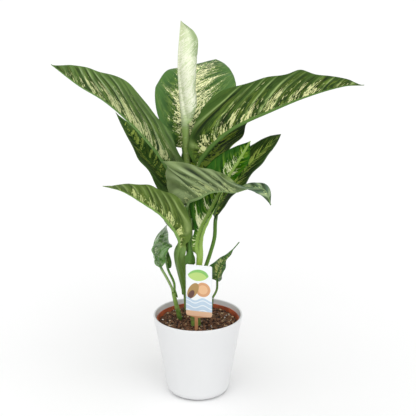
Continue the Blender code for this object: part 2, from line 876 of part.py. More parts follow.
def stalk_shape(leaf, distance, rib, bend, on_top):
    """Half width, curl in degrees, thickness and upper bump of the stalk at a distance from its foot. It is a
    sheath bent round the cane that narrows to a nearly round stalk."""
    open_share = 0.0 if on_top else max(0.0, 1 - distance / leaf.sheath_length)
    if leaf.sheath_radius > bend:
        bend += (leaf.sheath_radius - bend) * smooth(distance / (SHEATH_BROAD * leaf.sheath_length))
    clasp = math.radians(leaf.clasp) * min(1.0, SHEATH_OPEN * open_share) ** SHEATH_CLOSING
    half_width = max(rib, bend * clasp)
    curl = math.degrees(half_width / bend) * min(1.0, open_share * 3)
    closed = 1 - min(1.0, open_share * 2)
    thickness = SHEATH_THICKNESS + (BLADE_THICKNESS - SHEATH_THICKNESS) * closed
    return half_width, curl, thickness, STALK_UPPER_BUMP * closed


def point_spread(leaf):
    """How the points of the leaf's cross-sections are spaced."""
    return 1.0 if leaf.rolled else 2.0


def stalk_section(leaf, axes, rib, stalk):
    """A cross-section of the stalk."""
    half_width, curl, thickness, bump = stalk
    return Section(
        *axes,
        half_widths=(half_width, half_width),
        rib=rib,
        thickness=thickness,
        lifts=(0.0, 0.0),
        curls=(curl, curl),
        lobe=0.0,
        ripples=(0.0, 0.0),
        columns=leaf.columns,
        spread=point_spread(leaf),
        upper_bump=bump,
    )


def swelling(leaf, side, share):
    """How much wider the bumps of one margin make its half of the blade."""
    total = 0.0
    for bump_side, middle, height, half_length in leaf.bumps:
        if bump_side == side:
            total += height * math.exp(-(((share - middle) / half_length) ** 2))
    return total


def blade_section(leaf, axes, share, stalk):
    """A cross-section of the blade. A sheath that is wide where the blade starts runs out along its base."""
    sheath_width, sheath_curl, thickness, bump = stalk
    wing = 1 - smooth(share / WING_SHARE)
    rib = TIP_RIB + (leaf.rib - TIP_RIB) * (1 - share) ** RIB_TAPER
    narrowest = rib + TIP_HALF_WIDTH - TIP_RIB
    half_width = max(leaf.width / 2 * blade_outline(leaf, share), narrowest / (1 - abs(leaf.skew)))
    half_width = max(half_width, sheath_width * wing)
    half_widths = []
    for side in (-1, 1):
        half_widths.append(max(narrowest, half_width * (1 + side * leaf.skew) + swelling(leaf, side, share)))
    lobe = leaf.lobe * max(0.0, 1 - share / leaf.widest) ** LOBE_POWER * (leaf.shoulder - 1)
    lobe *= min(1.0, leaf.width / LOBE_WIDTH) * min(1.0, share / LOBE_START)
    opened = min(1.0, share / LIFT_START) * min(1.0, (1 - share) / LIFT_END) ** 0.5
    swell = 0.0
    if 0 < share < WAVE_END:
        swell = leaf.wave * math.sin(math.pi * share / WAVE_END) ** WAVE_POWER
    phase = math.tau * leaf.waves * share
    return Section(
        *axes,
        half_widths=tuple(half_widths),
        rib=rib,
        thickness=BLADE_THICKNESS,
        lifts=tuple(eased(lift, share) * opened for lift in (leaf.left_lift, leaf.right_lift)),
        curls=tuple(eased(c, share) * opened + sheath_curl * wing for c in (leaf.left_curl, leaf.right_curl)),
        lobe=lobe,
        ripples=(swell * math.sin(phase), swell * math.sin(phase + WAVE_SHIFT)),
        columns=leaf.columns,
        spread=point_spread(leaf),
        upper_bump=STALK_UPPER_BUMP * max(0.0, 1 - share / BASE_MOUND),
    )


def make_leaf(leaf):
    """One leaf as a single closed solid."""
    rings = [section_points(section) for section in leaf_sections(leaf)]
    finish = "young_leaf" if leaf.name == "leaf_young_rolled" else "leaf_green"
    return new_object(leaf.name, loft(rings), finish)


def make_cane(cane):
    """A cane with its leaf-scar rings, as a tapered tube of round cross-sections."""
    route = route_of(cane.axis)
    length = route[1][-1]
    stations = [0.0, STEM_DEPTH]
    steps = max(2, round((length - STEM_DEPTH) / CANE_RING_SPACING))
    stations += [STEM_DEPTH + (length - STEM_DEPTH) * step / steps for step in range(1, steps + 1)]
    for scar in cane.scars:
        stations = [place for place in stations if abs(place - scar) > SCAR_CLEAR]
        stations += [scar - SCAR_HALF_LENGTH, scar, scar + SCAR_HALF_LENGTH]
    made = bmesh.new()
    rings = []
    for distance in sorted(stations):
        place, way = along(route, distance)
        out = (Vector((1, 0, 0)) - way * way.x).normalized()
        across = way.cross(out)
        radius = cane_radius(cane, distance, length)
        if distance in cane.scars:
            radius += SCAR_HEIGHT
        ring = []
        for side in range(CANE_SIDES):
            angle = math.tau * side / CANE_SIDES
            point = place + out * radius * math.cos(angle) + across * radius * math.sin(angle)
            ring.append(made.verts.new(point))
        rings.append(ring)
    for ring, next_ring in zip(rings, rings[1:]):
        for side in range(CANE_SIDES):
            after = (side + 1) % CANE_SIDES
            made.faces.new((ring[side], ring[after], next_ring[after], next_ring[side]))
    made.faces.new(rings[0])
    made.faces.new(rings[-1])
    return new_object(cane.name, made, "cane_green")


def tag_axes():
    """The tag's middle line at its foot, the way along its width and the way out of its front."""
    turn = math.radians(-TAG_TURN)
    along_width = Vector((math.cos(turn), math.sin(turn), 0.0))
    front = Vector((math.sin(turn), -math.cos(turn), 0.0))
    return Vector((*TAG_FOOT, 0.0)), along_width, front


def spike_slot():
    """The cutter for the slot that the tag's spike stands in."""
    foot, along_width, front = tag_axes()
    middle = foot + Vector((0, 0, SLOT_BOTTOM + SLOT_DEPTH / 2))
    size = (SPIKE_WIDTH + SLOT_MARGIN, TAG_THICKNESS + SLOT_MARGIN, SLOT_DEPTH)
    made = bmesh.new()
    bmesh.ops.create_cube(made, size=1.0)
    bmesh.ops.scale(made, vec=size, verts=made.verts)
    turn = Matrix.Rotation(math.radians(-TAG_TURN), 3, "Z")
    bmesh.ops.rotate(made, matrix=turn, verts=made.verts)
    bmesh.ops.translate(made, vec=middle, verts=made.verts)
    return cutter_object(made)


def make_tag():
    """The care tag: a card with rounded corners on a spike of the same sheet."""
    foot, along_width, front = tag_axes()
    left, right = -TAG_WIDTH / 2 - SPIKE_OFFSET, TAG_WIDTH / 2 - SPIKE_OFFSET
    top = TAG_BOTTOM + TAG_HEIGHT
    half_spike = SPIKE_WIDTH / 2
    outline = [
        (0.0, SPIKE_POINT),
        (half_spike, SPIKE_POINT + SPIKE_TAPER),
        (half_spike, TAG_BOTTOM - SPIKE_FLARE),
        (half_spike + SPIKE_FLARE, TAG_BOTTOM),
        (right - TAG_CORNER, TAG_BOTTOM),
        (right, TAG_BOTTOM + TAG_CORNER),
        (right, top - TAG_CORNER),
        (right - TAG_CORNER, top),
        (left + TAG_CORNER, top),
        (left, top - TAG_CORNER),
        (left, TAG_BOTTOM + TAG_CORNER),
        (left + TAG_CORNER, TAG_BOTTOM),
        (-half_spike - SPIKE_FLARE, TAG_BOTTOM),
        (-half_spike, TAG_BOTTOM - SPIKE_FLARE),
        (-half_spike, SPIKE_POINT + SPIKE_TAPER),
    ]
    made = bmesh.new()
    back_offset = front * (-TAG_THICKNESS / 2)
    points = []
    for x, z in outline:
        points.append(made.verts.new(foot + along_width * x + Vector((0, 0, z)) + back_offset))
    face = made.faces.new(points)
    extruded = bmesh.ops.extrude_face_region(made, geom=[face])["geom"]
    moved = [item for item in extruded if isinstance(item, bmesh.types.BMVert)]
    bmesh.ops.translate(made, vec=front * TAG_THICKNESS, verts=moved)
    return new_object("care_tag", made, "tag_card")


def main():
    """Makes the whole part."""
    clear_scene()
    make_cover_pot()
    make_grower_pot()
    make_soil()
    for cane in CANES:
        make_cane(cane)
    for leaf in LEAVES:
        make_leaf(leaf)
    make_tag()


main()
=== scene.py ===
"""The looks of a dieffenbachia growing in its pot.

Every leaf, cane and the soil is rebuilt here at a finer scale over its solid, with quilted veins, streaked
colours and loose crumbs. Lengths in the tables are in millimetres, and new_piece turns them into metres. The
origin is under the middle of the cover pot, +Z is up and the plant's front is towards -Y.
"""

import math
import random
from dataclasses import dataclass

import bmesh
import bpy
import numpy as np
from mathutils import Euler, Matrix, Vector, noise
from mathutils.geometry import interpolate_bezier


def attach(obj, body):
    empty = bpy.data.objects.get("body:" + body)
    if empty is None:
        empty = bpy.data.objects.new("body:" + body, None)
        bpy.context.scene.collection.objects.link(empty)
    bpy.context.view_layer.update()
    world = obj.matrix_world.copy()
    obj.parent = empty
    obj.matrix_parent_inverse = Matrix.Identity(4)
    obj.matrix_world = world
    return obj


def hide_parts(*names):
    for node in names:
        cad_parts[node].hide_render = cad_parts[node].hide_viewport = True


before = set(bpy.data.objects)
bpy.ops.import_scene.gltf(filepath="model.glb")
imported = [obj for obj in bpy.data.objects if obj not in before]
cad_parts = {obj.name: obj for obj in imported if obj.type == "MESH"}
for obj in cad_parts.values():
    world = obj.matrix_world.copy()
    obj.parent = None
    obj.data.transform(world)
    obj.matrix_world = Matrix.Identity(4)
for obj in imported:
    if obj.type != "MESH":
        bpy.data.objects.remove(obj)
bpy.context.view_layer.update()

METRES = 0.001

# Camera, in metres and degrees
CAMERA_PLACE = (0.017, -1.6, 0.803)
CAMERA_PITCH = 16.64
CAMERA_LENS = 88.44

# Cover pot and grower's pot
POT_HEIGHT = 139.0
POT_RIM_RADIUS = 75.0
POT_FOOT_RADIUS = 54.7
POT_FOOT_ROUNDING = 16.0
POT_WALL = 3.5
POT_FLOOR = 4.5
POT_SIDES = 160

# Soil
SOIL_RADIUS = 65.5
SOIL_LEVEL = 125.1
SOIL_CROWN = 2.0
SOIL_LUMP = 0.7
SOIL_SKIRT = 118.0
SOIL_ROUGHNESS = 1.5
CRUMB_MARGIN = 3.5  # kept clear of crumbs at the soil's edge
CRUMB_ROUGHNESS = 0.55

# Canes and leaves
CLEARANCE = 0.35
STEM_DEPTH = 22.0
BLADE_THICKNESS = 0.8
MARGIN_THICKNESS = 0.36
SHEATH_THICKNESS = 1.1
STALK_UPPER_BUMP = 0.55
TIP_HALF_WIDTH = 0.9
TIP_RIB = 0.35
RIB_TAPER = 1.3
RIB_PART = 0.2  # least share of each half's points that lie on its rib
MIN_BEND = 2.0
OPEN_CURL = 0.66
NARROW_ROLL = 25.0
ROLL_GAIN = 0.026  # how much more of its curl a half blade takes for each millimetre past that
COLUMNS = 28  # from the midrib to each margin
RING_SPACING = 1.7
STREAK_CONTRAST = 3.4
VEIN_DRIFT = 2.2  # how unevenly the veins are spaced, in millimetres
UNDER_SHADE = 0.68
FOLD_SHADE = 0.6
LOBE_GROWTH = 25.0  # how fast the lobes set in at the blade's base
WING_SHARE = 0.14  # of the blade's length, in which a wide sheath runs out
BUMP_SHARE = 0.15  # in which the stalk's rounded upper side runs out
OPENING_SHARE = 0.06  # in which its lift and curl set in at its base
CLOSING_SHARE = 0.08  # in which they end at its tip
WAVE_SHARE = 0.83  # in which its margins wave
OTHER_SIDE_PHASE = 1.9  # how far the right margin's waves are out of step with the left's
SIDE_SHIFT = 7.3  # keeps the marks on a leaf's two halves unlike
LEAF_SHIFT = 3.7  # and those on different leaves
CANE_SIDES = 40
CANE_RING_SPACING = 1.1
SCAR_HEIGHT = 0.5
SCAR_WIDTH = 1.3
SOIL_STAIN = 16.0  # how far above the soil a cane is browner

# Care tag
TAG_WIDTH = 44.5
TAG_HEIGHT = 89.0
TAG_THICKNESS = 0.9
TAG_BOTTOM = 151.0
TAG_TURN = 15.5
TAG_FOOT = (-2.2, -38.6)
SPIKE_WIDTH = 5.6
SPIKE_OFFSET = -4.5
SPIKE_POINT = 104.0
SPIKE_TAPER = 8.0
SPIKE_FLARE = 3.0  # how far it widens to each side, over as much height, below the card
TAG_CORNER = 2.0
TAG_BOW = 0.3
TAG_COLUMNS = 24
TAG_ROWS = 48
SPIKE_ROWS = 16

# Studio: the floor in metres, and each soft sun's name, direction, strength and spread in degrees
FLOOR_SIZE = 20.0
SURROUNDING_LIGHT = 0.54
SUNS = (
    ("key", (-0.2, -0.25, 1.0), 1.35, 80.0),
    ("fill", (0.6, -0.5, 0.8), 0.45, 50.0),
    ("front", (0.0, -1.0, 0.5), 0.5, 60.0),
)


@dataclass
class Cane:
    """A shoot's cane: the points of its axis, its radius at the foot and the top, and its leaf-scar rings."""

    name: str
    axis: list
    foot_radius: float
    top_radius: float
    scars: tuple = ()


@dataclass
class Look:
    """A leaf's colours, as 0 to 255 values of red, green and blue, and its finish."""

    deep: tuple = (34, 66, 30)
    fresh: tuple = (70, 118, 52)
    blotch: tuple = (214, 222, 150)
    cover: float = 0.1  # how far blotches cover the blade beside its midrib
    reach: float = 0.55  # share of the half width that the blotches reach
    fine: float = 0.3  # streaks for each millimetre along the midrib
    long: float = 0.045  # breaks in a streak for each millimetre along its vein
    soft: float = 0.03  # how soft a blotch's edge is
    gap: float = 0.3  # how clear the skin is between groups of streaks
    base_cover: float = 0.0  # how much more the blotches cover it towards its base
    wash: tuple = (116, 140, 50)  # the yellower green round the streaks
    wash_share: float = 0.55
    net_share: float = 0.6  # how dark the skin is between streaks
    fold_shadow_share: float = 0.5  # how dark the painted shade on one side of each fold is
    rib: tuple = (86, 136, 58)
    rib_width: float = 2.2
    under: tuple = (112, 142, 92)
    under_share: float = 0.5
    under_blotch: float = 0.55  # how strongly the blotches show on the lower side
    margin: tuple = (70, 118, 52)
    margin_share: float = 0.0
    margin_start: float = 0.5
    fold_highlight: tuple = (112, 138, 80)  # the paler green painted along the veins as the lit side of each fold
    fold_highlight_share: float = 0.5
    fold_highlight_width: float = 0.6
    unevenness: float = 1.0  # how unevenly the painted fold highlights and shade show
    # tip: a bluer grey-green painted on a hanging tip as the sky's reflection
    tip: tuple = (92, 120, 100)
    tip_reflection_share: float = 0.0  # how far the blade takes that colour, a painted sky reflection, towards its tip
    tip_reflection_start: float = 0.6
    base_share: float = 0.0  # how far it takes the stalk's colour at its base
    stalk: tuple = (84, 122, 52)
    stalk_top: tuple = (92, 132, 60)
    gloss: float = 0.42
    coat: float = 0.0
    specular: float = 0.14


@dataclass
class Leaf:
    """One leaf. Its stalk starts against a cane at foot_height, on the side that foot_heading gives in
    degrees anticlockwise from +X, and runs through stalk, whose last point is the blade's base. midrib goes
    on from there to the tip. Blade and stalk turn their upper side away from heading. The lifts are degrees
    that each half rises above level at the base, the middle and the tip, and the curls are how far each half
    bends on from its rib to its margin. Left and right are as seen from the cane, looking along the leaf."""

    name: str
    cane: str
    foot_height: float
    foot_heading: float
    stalk: list
    midrib: list
    heading: float
    width: float
    left_lift: tuple
    right_lift: tuple
    look: Look
    left_curl: tuple = (0.0, 0.0, 0.0)
    right_curl: tuple = (0.0, 0.0, 0.0)
    rib: float = 3.6
    foot_rib: float = 0.0  # the same at the stalk's foot, where it is thinner there
    sheath_length: float = 26.0
    sheath_radius: float = 0.0
    clasp: float = 70.0
    wave: float = 2.2
    waves: float = 3.5
    widest: float = 0.26
    shoulder: float = 2.2
    taper: float = 1.8
    point: float = 1.2
    rolled: bool = False
    skew: float = 0.0
    lobe: float = 9.0
    quilt: float = 1.3  # how far the blade bulges between its veins
    pitch: float = 14.0  # between veins, along the midrib
    slant: float = 0.35  # how far a vein leans to the tip as it leaves the midrib
    sweep: float = 0.75  # how far it bends on to the tip before it meets the margin
    fan: float = 0.25  # how far the veins lean back at the blade's base
    fold_start: float = 0.11  # share of the blade's length in which the folds set in
    crumple: float = 0.0
    bumps: tuple = ()  # along its margins: side, share of the length, height and half length


CANES = (
    Cane(
        "cane_main",
        [(-3, -22, 102), (-3, -22, 128), (-8, -20, 180), (-12, -17, 238), (-13.5, -11, 295), (-14, -4, 348)],
        8.3,
        4.2,
        (38, 58, 90, 124),
    ),
    Cane("cane_back", [(-19, 43, 102), (-19, 43, 128), (-22, 37, 172), (-24, 32, 196)], 4.8, 3.8, (66,)),
    Cane("cane_left", [(-31, 6, 102), (-31, 6, 128), (-36, 3, 152), (-41, 0, 176)], 4.4, 3.2, (48,)),
    Cane("cane_right", [(22, 48, 112), (22, 48, 130), (24.5, 50.5, 146)], 3.4, 2.6),
)

LEAVES = (
    Leaf(
        "leaf_young_rolled", "cane_main", 349.0, 0.0,
        [(-14.3, -3, 372), (-15.5, -1, 410), (-17.5, 1, 462)],
        [(-22, 4, 497), (-26, 4, 530), (-28, 4, 566), (-27, 5, 597), (-25, 8, 627)],
        heading=180.0, width=104.0, left_lift=(0, 0, 55), right_lift=(0, 0, 20), left_curl=(190, 205, 20),
        right_curl=(220, 240, 100), rib=7.4, foot_rib=4.6, wave=0.0, widest=0.62, shoulder=1.0, taper=2.2,
        point=0.85, rolled=True, quilt=0.3, bumps=((-1, 0.72, -15.0, 0.14), (1, 0.72, -12.0, 0.14)),
        look=Look(
            deep=(226, 242, 178), fresh=(236, 250, 204), blotch=(252, 254, 232), reach=1.6, fine=0.5,
            long=0.1, soft=0.2, gap=0.1, wash_share=0.0, net_share=0.0, fold_shadow_share=0.1, rib=(214, 226, 190),
            under=(226, 236, 198), under_share=0.4, under_blotch=0.9, margin=(92, 132, 56),
            margin_share=0.6, fold_highlight_share=0.0, base_share=0.7, stalk=(146, 164, 84),
            stalk_top=(150, 178, 104), gloss=0.46,
        ),
    ),
    Leaf(
        "leaf_back", "cane_main", 322.0, 92.0,
        [(-15, 11, 362), (-19, 14, 395), (-22, 16, 422)],
        [(-23, 28, 465), (-21, 52, 494), (-13, 92, 515), (3, 142, 530), (31, 195, 539)],
        heading=75.0, width=126.0, left_lift=(40, 10, -10), right_lift=(0, 5, 2), widest=0.42, shoulder=1.6,
        taper=2.4, point=0.85, skew=0.18, bumps=((1, 0.45, 8.0, 0.12),),
        look=Look(
            deep=(30, 66, 20), fresh=(64, 104, 42), blotch=(252, 252, 196), cover=0.07, reach=1.0,
            fine=0.36, long=0.07, gap=0.1, wash=(140, 168, 76), wash_share=0.7, net_share=0.5,
            fold_shadow_share=0.2, rib=(60, 132, 20), margin=(80, 120, 54), margin_share=0.8, fold_highlight_share=0.25,
        ),
    ),
    Leaf(
        "leaf_right_large", "cane_main", 310.0, -28.0,
        [(-3, -6, 345), (-4, -2, 375), (-2, 0, 394)],
        [(21, 2, 426), (59, 5, 457), (119, 10, 484), (175, 15, 506), (234, 20, 522), (267, 25, 523)],
        heading=5.0, width=138.0, left_lift=(10, 15, 10), right_lift=(72, 85, 60), clasp=40.0, widest=0.32,
        shoulder=1.1, quilt=2.8, pitch=26.0, slant=0.75, sweep=1.1,
        bumps=((1, 0.43, -7.0, 0.13), (1, 0.6, -2.0, 0.05), (1, 0.7, 8.0, 0.045), (1, 0.86, 2.0, 0.07)),
        look=Look(
            deep=(26, 52, 6), fresh=(70, 104, 34), blotch=(236, 238, 172), cover=0.04, reach=0.85,
            fine=0.26, long=0.05, gap=0.45, base_cover=0.14, wash=(128, 152, 56), wash_share=0.7,
            net_share=0.9, fold_shadow_share=0.85, rib=(92, 126, 58), rib_width=4.2, under=(84, 114, 50),
            under_share=0.3, under_blotch=0.9, fold_highlight=(160, 184, 112), fold_highlight_share=0.85, fold_highlight_width=0.38,
        ),
    ),
    Leaf(
        "leaf_left_large", "cane_main", 272.0, 216.0,
        [(-25, -12, 320), (-35, -10, 368)],
        [
            (-54, -15, 406), (-75, -20, 437), (-111, -25, 478), (-146, -30, 509), (-183, -35, 533),
            (-223, -40, 566),
        ],
        heading=186.0, width=136.0, left_lift=(42, 48, 84), right_lift=(15, 15, 10), clasp=40.0, widest=0.3,
        shoulder=1.1, taper=2.5, point=1.0, quilt=2.8, pitch=25.0, slant=1.0, sweep=1.3,
        bumps=(
            (-1, 0.22, -11.0, 0.09), (-1, 0.38, -15.0, 0.1), (-1, 0.62, 2.0, 0.045), (-1, 0.75, -4.0, 0.06),
        ),
        look=Look(
            deep=(30, 58, 12), fresh=(104, 138, 62), blotch=(226, 230, 168), cover=0.09, reach=0.8,
            fine=0.26, long=0.05, gap=0.4, wash=(128, 152, 66), wash_share=0.6, net_share=0.8,
            fold_shadow_share=0.7, rib=(106, 142, 74), rib_width=3.4, under=(104, 136, 72), under_blotch=0.75,
            fold_highlight=(172, 194, 138), fold_highlight_share=0.65, fold_highlight_width=0.42, base_share=0.55,
            stalk_top=(150, 176, 112),
        ),
    ),
    Leaf(
        "leaf_left_shaded", "cane_main", 253.0, 128.0,
        [(-26, 0, 292), (-32, 15, 326)],
        [(-57, 30, 369), (-87, 45, 400), (-136, 70, 469)],
        heading=150.0, width=100.0, left_lift=(12, 20, 10), right_lift=(30, 30, 10), wave=1.2,
        bumps=((-1, 0.74, -7.0, 0.12),),
        look=Look(
            deep=(36, 72, 28), fresh=(110, 144, 72), blotch=(172, 192, 92), cover=0.06, reach=0.9,
            fine=0.12, wash=(98, 124, 50), rib=(80, 120, 50), fold_highlight_share=0.1, specular=0.05,
        ),
    ),
    Leaf(
        "leaf_right_shaded", "cane_main", 288.0, 50.0,
        [(-6, 6, 322), (-3, 30, 375)],
        [(24, 63, 408), (56, 99, 439), (113, 150, 486)],
        heading=38.0, width=94.0, left_lift=(20, 20, 10), right_lift=(10, 10, 0), clasp=50.0, lobe=4.0,
        bumps=((1, 0.42, 9.0, 0.18),),
        look=Look(
            deep=(16, 42, 8), fresh=(56, 90, 28), blotch=(160, 186, 70), reach=1.1, fine=0.2,
            wash=(96, 122, 32), rib=(80, 120, 50), fold_highlight_share=0.1, specular=0.05,
        ),
    ),
    Leaf(
        "leaf_right_lower", "cane_main", 178.0, 10.0,
        [(8, -4, 212), (19, 5, 242), (27, 13, 270), (29, 21, 300)],
        [(37, 28, 325), (65, 34, 360), (98, 40, 401), (137, 45, 438)],
        heading=8.0, width=66.0, left_lift=(20, 34, 22), right_lift=(-20, -20, -10), widest=0.45,
        shoulder=1.2, taper=2.6, point=0.7, quilt=0.8, slant=1.4, bumps=((1, 0.45, -12.0, 0.35),),
        look=Look(
            deep=(22, 48, 14), fresh=(56, 88, 32), blotch=(190, 210, 104), reach=0.9, rib=(110, 150, 50),
            margin=(190, 206, 184), margin_share=0.8, margin_start=0.84, fold_highlight_share=0.15,
            stalk=(100, 136, 54), stalk_top=(92, 130, 54),
        ),
    ),
    Leaf(
        "leaf_front", "cane_main", 234.0, -90.0,
        [(-14, -25, 290), (-17, -28, 339)],
        [
            (4, -45, 356), (21, -60, 369), (40, -75, 375), (57, -90, 377), (81, -100, 386),
            (102, -110, 386), (112, -120, 365),
        ],
        heading=-35.0, width=120.0, left_lift=(88, 4, 34), right_lift=(64, 51, -28), rib=3.3, widest=0.2,
        shoulder=1.3, taper=1.4, point=1.1, skew=0.2, lobe=40.0, quilt=3.0, pitch=19.0, slant=-0.6,
        sweep=0.1, fan=0.45, fold_start=0.02,
        bumps=(
            (1, 0.025, -16.0, 0.025), (1, 0.075, 6.0, 0.03), (1, 0.16, 14.0, 0.09), (1, 0.27, 5.0, 0.07),
        ),
        look=Look(
            deep=(66, 92, 50), fresh=(136, 156, 92), blotch=(206, 220, 150), cover=0.06, reach=0.8,
            fine=0.26, long=0.035, wash=(118, 140, 84), wash_share=0.35, net_share=0.5, fold_shadow_share=0.9,
            rib=(128, 154, 98), under=(148, 170, 110), under_share=0.8, under_blotch=0.6,
            fold_highlight=(178, 196, 146), fold_highlight_share=0.7, unevenness=0.5, tip=(76, 104, 86), tip_reflection_share=0.85,
        ),
    ),
    Leaf(
        "leaf_centre_glossy", "cane_main", 205.0, -35.0,
        [(0, -27, 228), (2.5, -28, 250)],
        [(5, -27, 286), (22, -18, 323), (45.5, -1, 367), (67.5, 4, 404), (85.5, 8, 435)],
        heading=20.0, width=64.0, left_lift=(78, 72, 40), right_lift=(28, 20, -40), rib=6.3, foot_rib=4.3,
        clasp=50.0, wave=1.5, widest=0.55, shoulder=0.7, taper=2.4, point=1.0, skew=-0.28, quilt=1.2,
        bumps=((-1, 0.2, -9.0, 0.08), (-1, 0.36, 9.0, 0.09), (1, 0.16, 7.0, 0.07), (1, 0.85, 4.0, 0.07)),
        look=Look(
            deep=(8, 56, 0), fresh=(46, 106, 0), blotch=(236, 242, 190), cover=-0.02, reach=0.8, fine=0.34,
            base_cover=0.42, wash=(140, 184, 50), wash_share=0.6, net_share=0.55, rib=(150, 182, 92),
            rib_width=7.5, under=(84, 130, 40), fold_highlight_share=0.1, base_share=0.6, stalk=(150, 176, 62),
            stalk_top=(140, 172, 76), gloss=0.24, specular=0.1,
        ),
    ),
    Leaf(
        "leaf_left_lower", "cane_back", 160.0, 275.0,
        [(-26.5, 20, 200), (-31.5, 2, 229), (-31.5, -17, 252), (-27.5, -31, 274)],
        [(-35, -37, 296), (-56, -47, 326), (-86.5, -63, 353), (-115.5, -83, 377), (-143, -101, 390)],
        heading=217.0, width=88.0, left_lift=(50, 65, 30), right_lift=(14, 12, 5), sheath_length=240.0,
        sheath_radius=10.0, clasp=80.0, shoulder=1.5, taper=2.3, point=1.0, lobe=4.0, quilt=2.6, pitch=19.0,
        slant=0.8, sweep=1.1, bumps=((-1, 0.2, -9.0, 0.14), (-1, 0.52, -6.0, 0.13), (-1, 0.85, 3.0, 0.08)),
        look=Look(
            deep=(46, 72, 12), fresh=(98, 126, 48), blotch=(216, 226, 150), cover=0.08, reach=0.6,
            fine=0.24, long=0.055, gap=0.4, wash=(130, 150, 60), net_share=0.75, fold_shadow_share=0.55,
            rib=(124, 158, 80), under=(120, 146, 66), under_share=0.4, under_blotch=0.8,
            fold_highlight=(160, 180, 112), fold_highlight_share=0.6, fold_highlight_width=0.45, stalk=(98, 134, 54),
            stalk_top=(116, 148, 78),
        ),
    ),
    Leaf(
        "leaf_left_small", "cane_left", 177.0, 0.0,
        [(-43, -1, 186), (-52, -3, 206), (-60, -5, 222)],
        [(-72, -5, 250), (-68, -1, 274), (-51, 7, 293)],
        heading=180.0, width=62.0, left_lift=(0, 0, 0), right_lift=(50, 76, 50), rib=2.4,
        sheath_length=14.0, widest=0.62, shoulder=1.3, taper=2.4, point=0.75, quilt=2.4, pitch=10.0,
        crumple=2.3,
        look=Look(
            deep=(44, 96, 30), fresh=(130, 182, 94), blotch=(210, 224, 176), cover=-0.05, reach=0.6,
            wash=(170, 200, 120), under=(96, 138, 74), under_share=0.3, fold_highlight=(200, 220, 180),
            fold_highlight_share=0.4, stalk=(126, 156, 70), stalk_top=(120, 156, 76), gloss=0.22, coat=0.9,
            specular=0.7,
        ),
    ),
    Leaf(
        "leaf_left_small_rolled", "cane_left", 166.0, 60.0,
        [(-40, 11, 190), (-50, 16, 213)],
        [(-55, 18, 238), (-56, 20, 262)],
        heading=150.0, width=20.0, left_lift=(0, 0, 0), right_lift=(0, 0, 0), left_curl=(120, 140, 140),
        right_curl=(150, 170, 170), rib=2.0, sheath_length=14.0, wave=0.0, rolled=True, quilt=0.2,
        look=Look(
            deep=(52, 96, 36), fresh=(92, 134, 62), blotch=(176, 196, 110), cover=-0.02,
            stalk=(112, 146, 64),
        ),
    ),
    Leaf(
        "leaf_right_small", "cane_right", 147.0, 0.0,
        [(32, 56, 160), (33, 55, 177)],
        [(35, 52, 196), (44, 50, 215), (70, 45, 251)],
        heading=60.0, width=36.0, left_lift=(30, 30, 10), right_lift=(40, 30, 10), rib=1.9, widest=0.28,
        shoulder=1.4, taper=1.0, point=2.2, quilt=0.9, pitch=9.0,
        look=Look(
            deep=(34, 76, 38), fresh=(88, 136, 68), blotch=(206, 216, 130), cover=0.06, reach=0.9, fine=0.5,
            stalk=(104, 138, 56), gloss=0.28, coat=0.3, specular=0.4,
        ),
    ),
)


def linear(colour):
    """A colour of 0 to 255 values as the linear values that a shader takes."""
    channels = []
    for value in colour:
        share = value / 255
        channels.append(share / 12.92 if share <= 0.04045 else ((share + 0.055) / 1.055) ** 2.4)
    return (*channels, 1.0)


